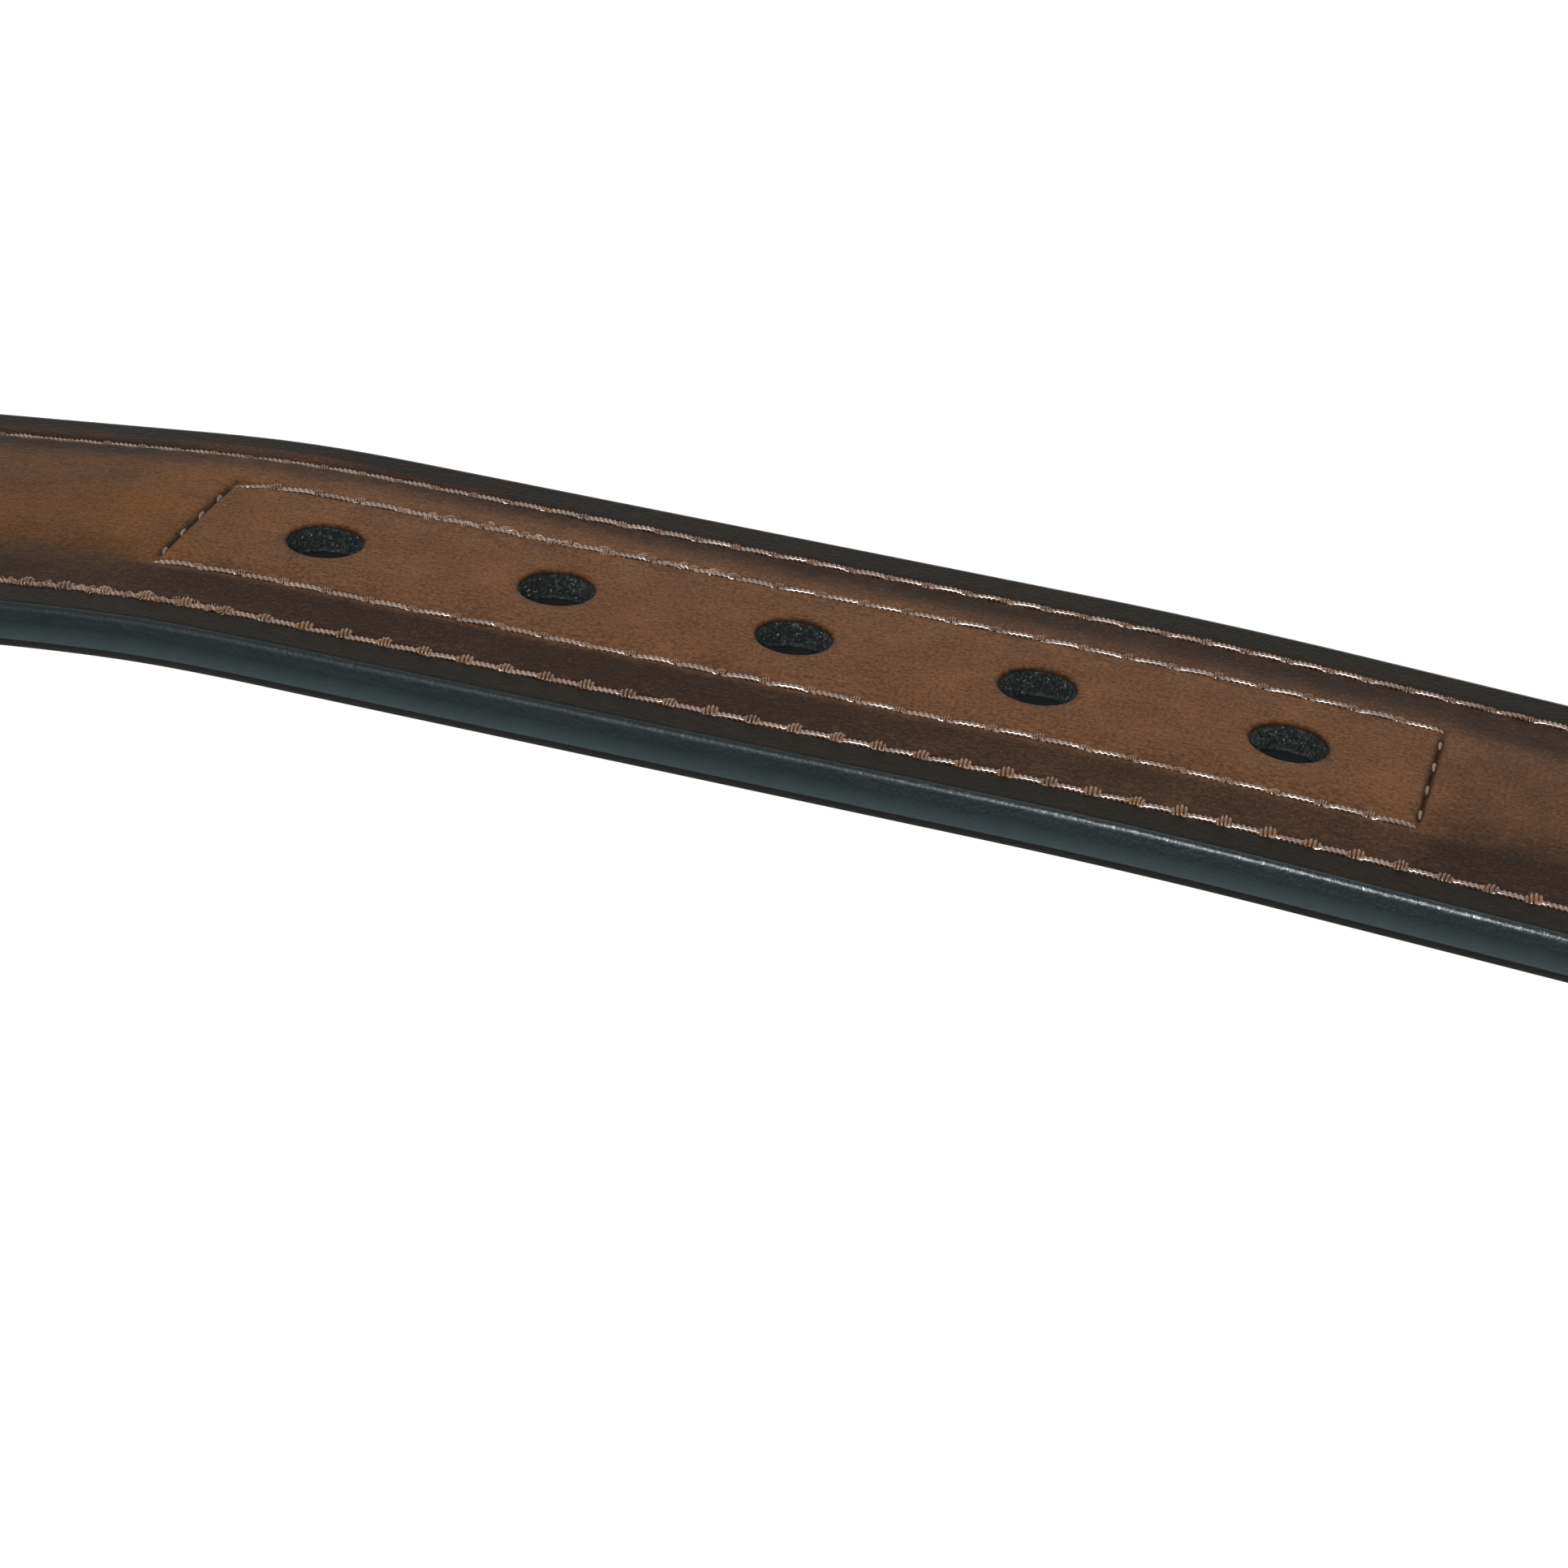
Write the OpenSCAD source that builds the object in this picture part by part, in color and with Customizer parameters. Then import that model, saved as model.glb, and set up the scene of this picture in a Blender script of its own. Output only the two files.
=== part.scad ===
// Stitched leather girth strap with a roller buckle, standing on its long edge as an open U.
// The row of holes runs along X at the front and faces -Y. The buckle end runs back along the rear.
// A place on the strap is given by n, up from the back of the lining through the face,
// by u, across the width, and by s, the length along the strap from its point.

/* [Strap] */
// Length from the point of the strap to the heel pin
strap_l = 914; // [900:1:1200]
// Width of the strap
strap_w = 47.2; // [44:0.2:56]
// Thickness of the face leather
face_t = 1.6; // [1.4:0.1:2]
// Thickness of the core and the filler at the edges of the strap
core_t = 2.4; // [2:0.1:2.8]
// Thickness of the lining leather
lining_t = 0.8; // [0.8:0.1:1.2]
// Height of the padded crown over the edges
crown_h = 0.6; // [0.5:0.1:1]
// Radius of the rounded upper edges
edge_r = 1.1; // [0.6:0.1:1.3]
// Length of the rounded point
point_l = 44; // [36:1:56]
// Radius of the nose of the point
nose_r = 9; // [7:0.5:12]

/* [Holes] */
// Number of holes
hole_count = 5; // [3:1:6]
// Distance from hole to hole
hole_pitch = 25.4; // [22:0.2:28]
// Diameter of a hole
hole_d = 7.8; // [6:0.1:9]
// Distance from the point to the first hole
point_to_hole = 89; // [80:1:110]
// Width of the stitched box round the holes
box_w = 21.3; // [18:0.1:23]
// Distance from the end holes to the end rows of the box
box_margin = 14.2; // [10:0.1:18]
// Length of the firm core past the box
core_over = 9; // [8:1:16]
// Thickness of the woven stay under the core
stay_t = 0.4; // [0.3:0.1:0.6]
// Distance that the stay keeps inside the rows of the box
stay_inset = 1.5; // [1:0.1:2.5]

/* [Stitching] */
// Distance from the edge of the strap to the edge row
seam_in = 5.1; // [4:0.1:6]
// Width of a row of thread
thread_w = 0.9; // [0.6:0.1:1.2]
// Depth that a row is drawn into the leather
thread_sink = 0.35; // [0.3:0.05:0.5]
// Height that the needle thread stands above the leather
thread_proud = 0.3; // [0.25:0.05:0.4]

/* [Lie of the strap] */
// Bend of the strap between its point and the holes, in degrees
point_bend_a = 2.6; // [1:0.1:6]
// Length of that bend
point_bend_l = 29; // [20:1:40]
// Bend of the strap behind the holes, in degrees
hole_bend_a = 6.5; // [3:0.1:12]
// Length of that bend
hole_bend_l = 10; // [8:1:30]
// Straight length from the last hole to that bend
hole_bend_gap = 6.2; // [5.5:0.1:15]
// Straight length in front of the turn
lead_l = 45; // [30:1:60]
// Inner radius of the turn
turn_r = 105; // [95:1:130]
// Angle of the turn at that radius, in degrees
turn_a = 150; // [130:1:165]
// Inner radius of the slack length behind the turn
ease_r = 350; // [250:5:420]

/* [Buckle] */
// Diameter of the frame's wire
wire_d = 5.5; // [5:0.1:6.5]
// Room between the strap and each arm of the frame
frame_clear = 1.25; // [1:0.05:2]
// Distance from the heel pin to the front bar
frame_reach = 36; // [33:0.5:42]
// Radius of the frame's corners at the middle of the wire
corner_r = 8; // [6:0.5:10]
// Radius of the eyes that hold the heel pin
eye_r = 4.6; // [4:0.1:5]
// Width of those eyes along the pin
eye_w = 6; // [5.8:0.1:7]
// Diameter of the front bar inside the roller
bar_d = 4.4; // [3.6:0.1:4.8]
// Diameter of the roller
roller_d = 7.4; // [6.6:0.1:8.4]
// Width of the tongue
tongue_w = 6; // [5:0.1:7]
// Thickness of the tongue
tongue_t = 3.2; // [2.6:0.1:3.6]
// Length of the tongue past the front bar
tongue_over = 4.8; // [4:0.1:7]

/* [Turned end] */
// Length of the leather turned back round the heel pin
return_l = 76; // [72:1:90]
// Distance from the heel pin to the end of the filler and the lining
turn_gap = 12; // [10:0.5:14]
// Length of the tongue's slot on the face
slot_face_l = 21; // [18:0.5:22]
// Length of the tongue's slot on the turned-back leather
slot_back_l = 13; // [11:0.5:16]
// Distance from the heel pin to the screws
screw_q = 56; // [52:0.5:62]
// Distance from the edge of the strap to a screw
screw_in = 11.6; // [10.4:0.1:14]
// Diameter of the screw post
post_d = 5; // [4.4:0.1:6]
// Diameter of the heads of the post and the screw
head_d = 9; // [8:0.1:11]
// Thickness of those heads
head_t = 1.1; // [0.9:0.1:1.5]
// Diameter of the screw
screw_d = 3; // [2.5:0.1:3.4]

/* [Keepers] */
// Thickness of the keeper leather and of the packing in the turned end
keeper_t = 1.8; // [1.5:0.1:2.2]
// Length of a keeper along the strap
keeper_l = 12; // [9:0.5:14]
// Height of the gap for the strap's point under a keeper
tail_gap = 6.4; // [6:0.1:8]
// Room between a keeper and each edge of the strap
keeper_side = 0.45; // [0.35:0.05:0.8]
// Distance from the heel pin to the fixed keeper
fixed_q = 25; // [24:0.5:28]
// Distance from the end of the turned-back leather to the sliding keeper
slide_gap = 6; // [5:0.5:20]
// Diameter of the wire in a keeper's staple
staple_d = 0.9; // [0.7:0.1:1.1]
// Width of a keeper's staple
staple_w = 8; // [6:0.5:10]

/* [Hidden] */
$fn = 64;

// Clearances between pieces that fit each other
pin_clear = 0.25;
press_clear = 0.01;
running_clear = 0.06;
screw_clear = 0.1;
slide_clear = 0.35;
rest_gap = 0.3;
end_play = 0.4;
slot_clear = 1;
floor_gap = 0.4;
butt_gap = 0.3;
// Reach of a cutter past the surface that it opens
over = 1;
// A stretch of the strap reaches this far into the next, which is this much slimmer
lap = 0.5;
tuck = 0.05;

// Levels up through the strap, from the back of the lining
half_w = strap_w / 2;
core_n = lining_t + core_t;
edge_n = core_n + face_t;
crown_n = edge_n + crown_h;
// Half widths of the crown at its top and at its foot, and of the seams
shoulder = 0.5;
plateau_u = box_w / 2 + shoulder;
seam_u = half_w - seam_in;
foot_u = seam_u - thread_w / 2 - shoulder;
box_u = box_w / 2;
lining_bevel = 0.3;
ramp_l = 12;

// The turned end: the leather wraps the heel pin with the packing's thickness inside it
fold_r = (core_n + keeper_t) / 2;
pin_n = core_n - fold_r;
pin_r = fold_r - pin_clear;
return_n = pin_n - fold_r;
return_corner = 6;
flat_q = screw_q + head_d;
slot_w = tongue_w + 2 * slot_clear;
packing_q = fixed_q + keeper_l + end_play;
packing_short = 2;
packing_l = return_l - packing_q - packing_short;
fixed_top = edge_n + tail_gap;
slide_top = crown_n + tail_gap;
slide_q = return_l + slide_gap;
keeper_round = 2;

// The buckle
wire_r = wire_d / 2;
arm_u = half_w + frame_clear + eye_w / 2;
frame_half = arm_u + eye_w / 2;
bar_half = arm_u - corner_r;
tongue_tip_r = tongue_t * 0.4;
tongue_rest_n = (roller_d + tongue_t) / 2 + rest_gap;

// Places of the holes along the strap, counted from the point
hole_s = [for (i = [0 : hole_count - 1]) point_to_hole + i * hole_pitch];
last_hole_s = hole_s[hole_count - 1];
box_from = point_to_hole - box_margin;
box_to = last_hole_s + box_margin;
core_end = box_to + core_over;

// Stretches of the strap: length, turn to the left in plan, and slope, both in degrees
function arc_l(r, a) = r * a * PI / 180;
function arc_r(l, a) = l * 180 / (a * PI);
function arc_a(l, r) = l * 180 / (r * PI);
function sum_to(v, i) = i <= 0 ? 0 : v[i - 1][0] + sum_to(v, i - 1);
point_bend_to = point_to_hole + hole_pitch;
ease_a = 180 - hole_bend_a - turn_a;
lying = [
    [point_bend_to - point_bend_l, 0, 0],
    [point_bend_l, point_bend_a, 0],
    [last_hole_s + hole_bend_gap - point_bend_to, 0, 0],
    [hole_bend_l, hole_bend_a, 0],
    [lead_l, 0, 0],
    [arc_l(turn_r, turn_a), turn_a, 0],
    [arc_l(ease_r, ease_a), ease_a, 0],
];
TURN = 5;
turn_s = sum_to(lying, TURN);
buckle_run = strap_l - sum_to(lying, len(lying));
// The buckle is wider than the strap, so its run slopes up until the frame's lower arm stands on the ground
lift_a = asin((frame_half - half_w + floor_gap) / buckle_run);
stretches = concat(lying, [[buckle_run, 0, lift_a]]);
starts = [for (i = [0 : len(stretches) - 1]) sum_to(stretches, i)];
first_l = stretches[0][0];
// The filler, the lining and the needle thread stop short of the fold,
// and the bobbin thread stops short of the turned-back end
layers_end = strap_l - turn_gap - lap;
bobbin_end = strap_l - return_l - end_play;
rows_from = first_l - lap / 2;

// A pose on the strap is [x, y, z, heading, slope]
function turned(p, r, a) =
    [p.x + r * (sin(p[3] + a) - sin(p[3])), p.y - r * (cos(p[3] + a) - cos(p[3])), p.z, p[3] + a, 0];
function gone(p, l, slope) =
    [p.x + l * cos(slope) * cos(p[3]), p.y + l * cos(slope) * sin(p[3]), p.z + l * sin(slope), p[3], slope];
function along(p, l, stretch) =
    stretch[1] > 0 ? turned(p, arc_r(stretch[0], stretch[1]), stretch[1] * l / stretch[0])
    : gone(p, l, stretch[2]);
function pose_from(p, s, i = 0) =
    s <= stretches[i][0] || i == len(stretches) - 1
        ? along(p, s, stretches[i])
        : pose_from(along(p, stretches[i][0], stretches[i]), s - stretches[i][0], i + 1);

// The origin lies on the ground under the middle of the whole object
raw_point = [0, 0, half_w, -point_bend_a, 0];
raw_hole = pose_from(raw_point, point_bend_to);
raw_turn = pose_from(raw_point, turn_s);
raw_pin = pose_from(raw_point, strap_l);
x_right = raw_turn.x - turn_r * sin(raw_turn[3]) + turn_r + crown_n;
x_left = raw_pin.x - (frame_reach + tongue_over) * cos(lift_a) - tongue_tip_r;
y_front = raw_hole.y - crown_n - thread_proud;
y_rear = raw_pin.y + slide_top + keeper_t;
point_pose = raw_point - [(x_left + x_right) / 2, (y_front + y_rear) / 2, 0, 0, 0];
function pose(s) = pose_from(point_pose, s);
function place(p) = [p.x, p.y, p.z];

// Axes at a place on the strap: x is n, y is u, and z points back towards the strap's point
module at(s) {
    p = pose(s);
    translate(place(p)) rotate([90 + p[4], 0, p[3] - 90]) children();
}

// Axes at the heel pin: z is then q, the distance back from the pin along the strap
module at_pin() {
    at(strap_l) children();
}

// Sweeps a profile in n and u along the strap, stretch by stretch.
// Every other stretch is a tuck slimmer, and they reach into each other, so they join as one.
module sweep(from, to) {
    for (i = [0 : len(stretches) - 1]) {
        a = max(from, starts[i]);
        b = min(to, starts[i] + stretches[i][0]);
        slim = i % 2;
        reach = lap * (1 + slim);
        if (b - a > lap)
            stretch(stretches[i], a, b, a > from ? reach : 0, b < to ? reach : 0)
                offset(delta = -slim * tuck) children();
    }
}

// One stretch between two lengths, with what it reaches past each of them
module stretch(size, a, b, reach_a, reach_b) {
    length = b - a + reach_a + reach_b;
    if (size[1] > 0) {
        p = pose(a);
        r = arc_r(size[0], size[1]);
        translate(place(p)) rotate([0, 0, p[3] - 90]) translate([-r, 0, 0]) rotate([0, 0, -arc_a(reach_a, r)])
            rotate_extrude(angle = arc_a(length, r), $fn = 360) translate([r, 0]) children();
    } else {
        at(b) translate([0, 0, -reach_b]) linear_extrude(length) children();
    }
}

// Raises a shape drawn in u and q, or in u and z, through the levels from one n to another
module through(from_n, to_n) {
    translate([from_n, 0, 0]) rotate([90, 0, 90]) linear_extrude(to_n - from_n) children();
}

// Raises a shape drawn in n and q across the width, centred on the middle of the strap
module across(width) {
    translate([0, width / 2, 0]) rotate([90, 0, 0]) linear_extrude(width) children();
}

// Mirrors the upper half of an outline, given from its middle to its middle, to the lower half
function both_halves(half) =
    concat(half, [for (i = [len(half) - 1 : -1 : 0]) [half[i].x, -half[i].y]]);

// Outline of the strap's point, drawn in by inset, with y towards the point
module point_shape(inset) {
    arch_r = (pow(point_l - nose_r, 2) / (half_w - nose_r) + nose_r + half_w) / 2;
    arch_u = arch_r - half_w;
    nose_y = point_l - nose_r;
    blend_y = arch_r * nose_y / (arch_r - nose_r);
    intersection() {
        translate([-arch_u, 0]) circle(arch_r - inset, $fn = 180);
        translate([arch_u, 0]) circle(arch_r - inset, $fn = 180);
        translate([-half_w, 0]) square([strap_w, blend_y]);
    }
    translate([0, nose_y]) circle(nose_r - inset);
}

// What is cut off a layer of the strap to leave its point
module point_cutter() {
    at(point_l) through(-over, crown_n + over) difference() {
        translate([-half_w - over, 0]) square([strap_w + 2 * over, point_l + over]);
        point_shape(0);
    }
}

module hole_cutters() {
    for (s = hole_s)
        at(s) translate([-over, 0, 0]) rotate([0, 90, 0]) cylinder(d = hole_d, h = crown_n + 2 * over);
}

module at_screws() {
    at_pin() for (side = [-1, 1]) translate([0, side * (half_w - screw_in), screw_q]) rotate([0, 90, 0]) children();
}

module screw_cutters() {
    low = return_n - face_t - over;
    at_screws() translate([0, 0, low])
        cylinder(d = post_d + 2 * screw_clear, h = crown_n + over - low);
}

// Opening for the tongue, from past the fold to a round end
module slot_shape(length) {
    translate([-slot_w / 2, -frame_reach / 2]) square([slot_w, frame_reach / 2 + length - slot_w / 2]);
    translate([0, length - slot_w / 2]) circle(d = slot_w);
}

module face_slot_cutter() {
    at_pin() through(-over, crown_n + over) slot_shape(slot_face_l);
}

// Clears the crown down to the level of the edges over a length along +z, with a ramp behind it
module crown_cutter(length) {
    high = crown_n + over;
    across(strap_w + over) polygon([
        [edge_n, length + over], [edge_n, 0], [high, -ramp_l * (1 + over / crown_h)], [high, length + over],
    ]);
}

// Profile of the face leather over the crown of the filler, with or without the grooves of the edge rows
module face_profile(grooved) {
    rounding = [for (a = [90 : -30 : 0]) [edge_n - edge_r + edge_r * sin(a), half_w - edge_r + edge_r * cos(a)]];
    corners = [[0, -1], [-1, -1], [-1, 1], [0, 1]];
    groove = [for (c = corners) [edge_n + c.x * thread_sink, seam_u + c.y * thread_w / 2]];
    polygon(both_halves(concat(
        [[crown_n, plateau_u], [edge_n, foot_u]], grooved ? groove : [], rounding,
        [[core_n, half_w], [core_n, foot_u], [core_n + crown_h, plateau_u]])));
}

// Rows of thread along both edges and round the point, between two levels
module edge_row(from_n, to_n, end_s) {
    for (side = [-1, 1]) side_row(side, from_n, to_n, end_s);
    point_row(from_n + 2 * tuck, to_n - 2 * tuck, 2 * tuck);
}

// A row along one edge, from a little before the first bend, so that it laps the row round the point
module side_row(side, from_n, to_n, end_s) {
    sweep(rows_from, end_s)
        translate([from_n, side * seam_u - thread_w / 2]) square([to_n - from_n, thread_w]);
}

// The row round the point and along both edges up to the first bend, drawn in by a margin
module point_row(from_n, to_n, margin) {
    at(point_l) through(from_n, to_n) difference() {
        point_row_edge(seam_in - thread_w / 2 + margin, first_l - point_l);
        point_row_edge(seam_in + thread_w / 2 - margin, first_l);
    }
}

module point_row_edge(inset, leg_l) {
    point_shape(inset);
    translate([inset - half_w, -leg_l]) square([strap_w - 2 * inset, leg_l]);
}

// Rows of thread round the holes, between two levels
module box_row(from_n, to_n) {
    height = to_n - from_n;
    sweep(box_from, box_to)
        for (side = [-1, 1])
            translate([from_n, side * box_u - thread_w / 2]) square([height, thread_w]);
    for (s = [box_from + thread_w, box_to - thread_w / 2])
        sweep(s - thread_w, s) translate([from_n + tuck, -box_u]) square([height - 2 * tuck, box_w]);
}

module face_leather() {
    color("saddlebrown") difference() {
        union() {
            difference() {
                union() {
                    sweep(0, first_l) face_profile(false);
                    sweep(rows_from, strap_l - turn_gap) face_profile(true);
                }
                point_cutter();
                point_row(edge_n - thread_sink, edge_n + over, 0);
                at(point_l) crown_cutter(point_l);
                at_pin() translate([0, 0, flat_q]) mirror([0, 0, 1]) crown_cutter(flat_q);
            }
            at_pin() turned_end();
        }
        hole_cutters();
        screw_cutters();
        face_slot_cutter();
        at_pin() through(return_n - face_t - over, 0) slot_shape(slot_back_l);
    }
}

// The end of the face leather: a flat length, the fold round the heel pin and the length turned back
module turned_end() {
    through(core_n + 2 * tuck, edge_n - 2 * tuck)
        translate([2 * tuck - half_w, 0]) square([strap_w - 4 * tuck, turn_gap + lap]);
    translate([pin_n, 0, 0]) rotate([-90, 0, 0]) rotate_extrude(angle = 180)
        translate([fold_r, -half_w]) square([face_t, strap_w]);
    through(return_n - face_t, return_n) {
        translate([-half_w, 0]) square([strap_w, return_l - return_corner]);
        translate([return_corner - half_w, 0]) square([strap_w - 2 * return_corner, return_l]);
        for (side = [-1, 1])
            translate([side * (half_w - return_corner), return_l - return_corner]) circle(return_corner);
    }
}

// Profile of the core and the filler, with the crown that lifts the face leather
module padding_profile() {
    polygon(both_halves([
        [core_n + crown_h, plateau_u], [core_n, foot_u], [core_n, half_w], [lining_t, half_w],
    ]));
}

// Firm core from the point to behind the holes
module hole_core() {
    color("black") difference() {
        sweep(0, core_end) padding_profile();
        point_cutter();
        hole_cutters();
    }
}

// Soft filler in the rest of the strap
module strap_filler() {
    color("dimgray") difference() {
        sweep(core_end + butt_gap, layers_end) padding_profile();
        screw_cutters();
        face_slot_cutter();
    }
}

module stay_body() {
    sweep(box_from + stay_inset, box_to - stay_inset)
        translate([lining_t - stay_t, stay_inset - box_u]) square([stay_t, box_w - 2 * stay_inset]);
}

module hole_stay() {
    color("gainsboro") difference() {
        stay_body();
        hole_cutters();
    }
}

module lining_leather() {
    color("sienna") difference() {
        sweep(0, layers_end) polygon(both_halves([
            [lining_t, half_w], [lining_bevel, half_w], [0, half_w - lining_bevel],
        ]));
        point_cutter();
        side_row(-1, -over, thread_sink, bobbin_end);
        side_row(1, -over, thread_sink, bobbin_end);
        point_row(-over, thread_sink, 0);
        box_row(-over, thread_sink);
        stay_body();
        hole_cutters();
        screw_cutters();
        face_slot_cutter();
    }
}

module edge_needle_thread() {
    color("burlywood") edge_row(edge_n - thread_sink, edge_n + thread_proud, layers_end);
}

module edge_bobbin_thread() {
    color("tan") edge_row(0, thread_sink, bobbin_end);
}

module box_needle_thread() {
    color("burlywood") box_row(crown_n, crown_n + thread_proud);
}

module box_bobbin_thread() {
    color("tan") box_row(0, thread_sink);
}

// Leather strip that fills the turned end behind the fixed keeper
module turn_packing() {
    color("peru") difference() {
        at_pin() through(return_n, 0)
            translate([-half_w, packing_q]) square([strap_w, packing_l]);
        screw_cutters();
    }
}

// Flanged posts through the turned end, with their heads on the face
module screw_posts() {
    post_l = edge_n - return_n + face_t - rest_gap;
    color("silver") at_screws() difference() {
        union() {
            translate([0, 0, edge_n - post_l]) cylinder(d = post_d, h = post_l);
            translate([0, 0, edge_n]) cylinder(d1 = head_d, d2 = head_d - head_t, h = head_t);
        }
        translate([0, 0, edge_n - post_l - over]) cylinder(d = screw_d + 2 * screw_clear, h = post_l);
    }
}

// Slotted screws that close the posts from the back
module post_screws() {
    seat = return_n - face_t;
    slot_size = [head_t, head_d + over, head_t];
    color("silver") at_screws() difference() {
        union() {
            translate([0, 0, seat - head_t]) cylinder(d1 = head_d - head_t, d2 = head_d, h = head_t);
            translate([0, 0, seat]) cylinder(d = screw_d, h = edge_n - seat - 2 * over);
        }
        translate([0, 0, seat - head_t]) cube(slot_size, center = true);
    }
}

// Rounded rectangle from one level to another, with half width u
module loop_shape(from_n, to_n, u, r) {
    translate([from_n + r, -u]) square([to_n - from_n - 2 * r, 2 * u]);
    translate([from_n, r - u]) square([to_n - from_n, 2 * (u - r)]);
    for (n = [from_n + r, to_n - r], side = [-1, 1]) translate([n, side * (u - r)]) circle(r);
}

// A strip bent into a loop round the strap, its ends meeting behind the strap
module keeper(low_n, top_n) {
    inner_u = half_w + keeper_side;
    difference() {
        linear_extrude(keeper_l) difference() {
            loop_shape(low_n - keeper_t, top_n + keeper_t, inner_u + keeper_t, keeper_round + keeper_t / 2);
            loop_shape(low_n, top_n, inner_u, keeper_round / 2);
            translate([low_n - keeper_t - over, -butt_gap / 2]) square([keeper_t + 2 * over, butt_gap]);
        }
        keeper_staple(low_n);
    }
}

// Wire staple across the meeting ends, its back flush with the leather and its legs driven in
module keeper_staple(low_n) {
    r = staple_d / 2;
    leg_l = keeper_t - staple_d;
    translate([low_n - keeper_t + r, 0, keeper_l / 2]) {
        translate([0, -staple_w / 2, 0]) rotate([-90, 0, 0]) cylinder(r = r, h = staple_w);
        for (side = [-1, 1]) translate([0, side * staple_w / 2, 0]) {
            sphere(r);
            rotate([0, 90, 0]) cylinder(r = r, h = leg_l);
        }
    }
}

module at_fixed_keeper() {
    at_pin() translate([0, 0, fixed_q]) children();
}

module at_sliding_keeper() {
    at_pin() translate([0, 0, slide_q]) children();
}

module fixed_keeper() {
    color("saddlebrown") at_fixed_keeper() keeper(0, fixed_top);
}

module fixed_keeper_staple() {
    color("silver") at_fixed_keeper() keeper_staple(0);
}

module sliding_keeper() {
    color("saddlebrown") at_sliding_keeper() keeper(-slide_clear, slide_top);
}

module sliding_keeper_staple() {
    color("silver") at_sliding_keeper() keeper_staple(-slide_clear);
}

// One arm of the frame with its eye and its corner
module frame_arm() {
    rotate([90, 0, 90]) {
        translate([arm_u, corner_r - frame_reach, 0]) rotate([-90, 0, 0])
            cylinder(r = wire_r, h = frame_reach - corner_r);
        translate([bar_half, corner_r - frame_reach, 0]) rotate([0, 0, -90])
            rotate_extrude(angle = 90) translate([corner_r, 0]) circle(wire_r);
    }
    translate([0, arm_u - eye_w / 2, 0]) rotate([-90, 0, 0]) cylinder(r = eye_r, h = eye_w);
}

module buckle_frame() {
    color("silver") at_pin() translate([pin_n, 0, 0]) difference() {
        union() {
            frame_arm();
            mirror([0, 1, 0]) frame_arm();
            translate([0, -bar_half, -frame_reach]) rotate([-90, 0, 0]) cylinder(d = bar_d, h = 2 * bar_half);
        }
        translate([0, -frame_half - over, 0]) rotate([-90, 0, 0])
            cylinder(r = pin_r + press_clear, h = 2 * (frame_half + over));
    }
}

module heel_pin() {
    color("gray") at_pin() translate([pin_n, -frame_half, 0]) rotate([-90, 0, 0])
        cylinder(r = pin_r, h = 2 * frame_half);
}

module buckle_roller() {
    length = 2 * bar_half - end_play;
    color("silver") at_pin() translate([pin_n, -length / 2, -frame_reach]) rotate([-90, 0, 0]) difference() {
        cylinder(d = roller_d, h = length);
        translate([0, 0, -over]) cylinder(r = bar_d / 2 + running_clear, h = length + 2 * over);
    }
}

// Side view of the tongue: its eye, its shank up to the roller and its dropped tip
module tongue_shape() {
    eye = fold_r + face_t + rest_gap;
    rest = [tongue_rest_n, -frame_reach];
    tip = [tongue_rest_n - tongue_t / 3, -frame_reach - tongue_over];
    circle(eye);
    hull() {
        translate([eye - tongue_t / 2, 0]) circle(d = tongue_t);
        translate(rest) circle(d = tongue_t);
    }
    hull() {
        translate(rest) circle(d = tongue_t);
        translate(tip) circle(tongue_tip_r);
    }
}

module buckle_tongue() {
    color("silver") at_pin() translate([pin_n, 0, 0]) difference() {
        across(tongue_w) tongue_shape();
        translate([0, -tongue_w, 0]) rotate([-90, 0, 0]) cylinder(r = pin_r + running_clear, h = 2 * tongue_w);
    }
}

face_leather();
hole_core();
strap_filler();
hole_stay();
lining_leather();
edge_needle_thread();
edge_bobbin_thread();
box_needle_thread();
box_bobbin_thread();
turn_packing();
screw_posts();
post_screws();
fixed_keeper();
fixed_keeper_staple();
sliding_keeper();
sliding_keeper_staple();
buckle_frame();
heel_pin();
buckle_roller();
buckle_tongue();
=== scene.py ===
"""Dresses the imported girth: a padded leather strap with stitched edges and a stitched box of punched holes,
two leather keepers and a plated roller buckle.

Strap coordinates are in millimetres: s runs along the strap from its point, u across it from its middle line,
and n out of its face from the back of the lining.
"""

import math
from collections import namedtuple
from functools import partial

import bmesh
import bpy
import numpy as np
from bpy.props import FloatProperty, FloatVectorProperty, IntProperty, PointerProperty
from mathutils import Matrix, Vector


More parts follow.
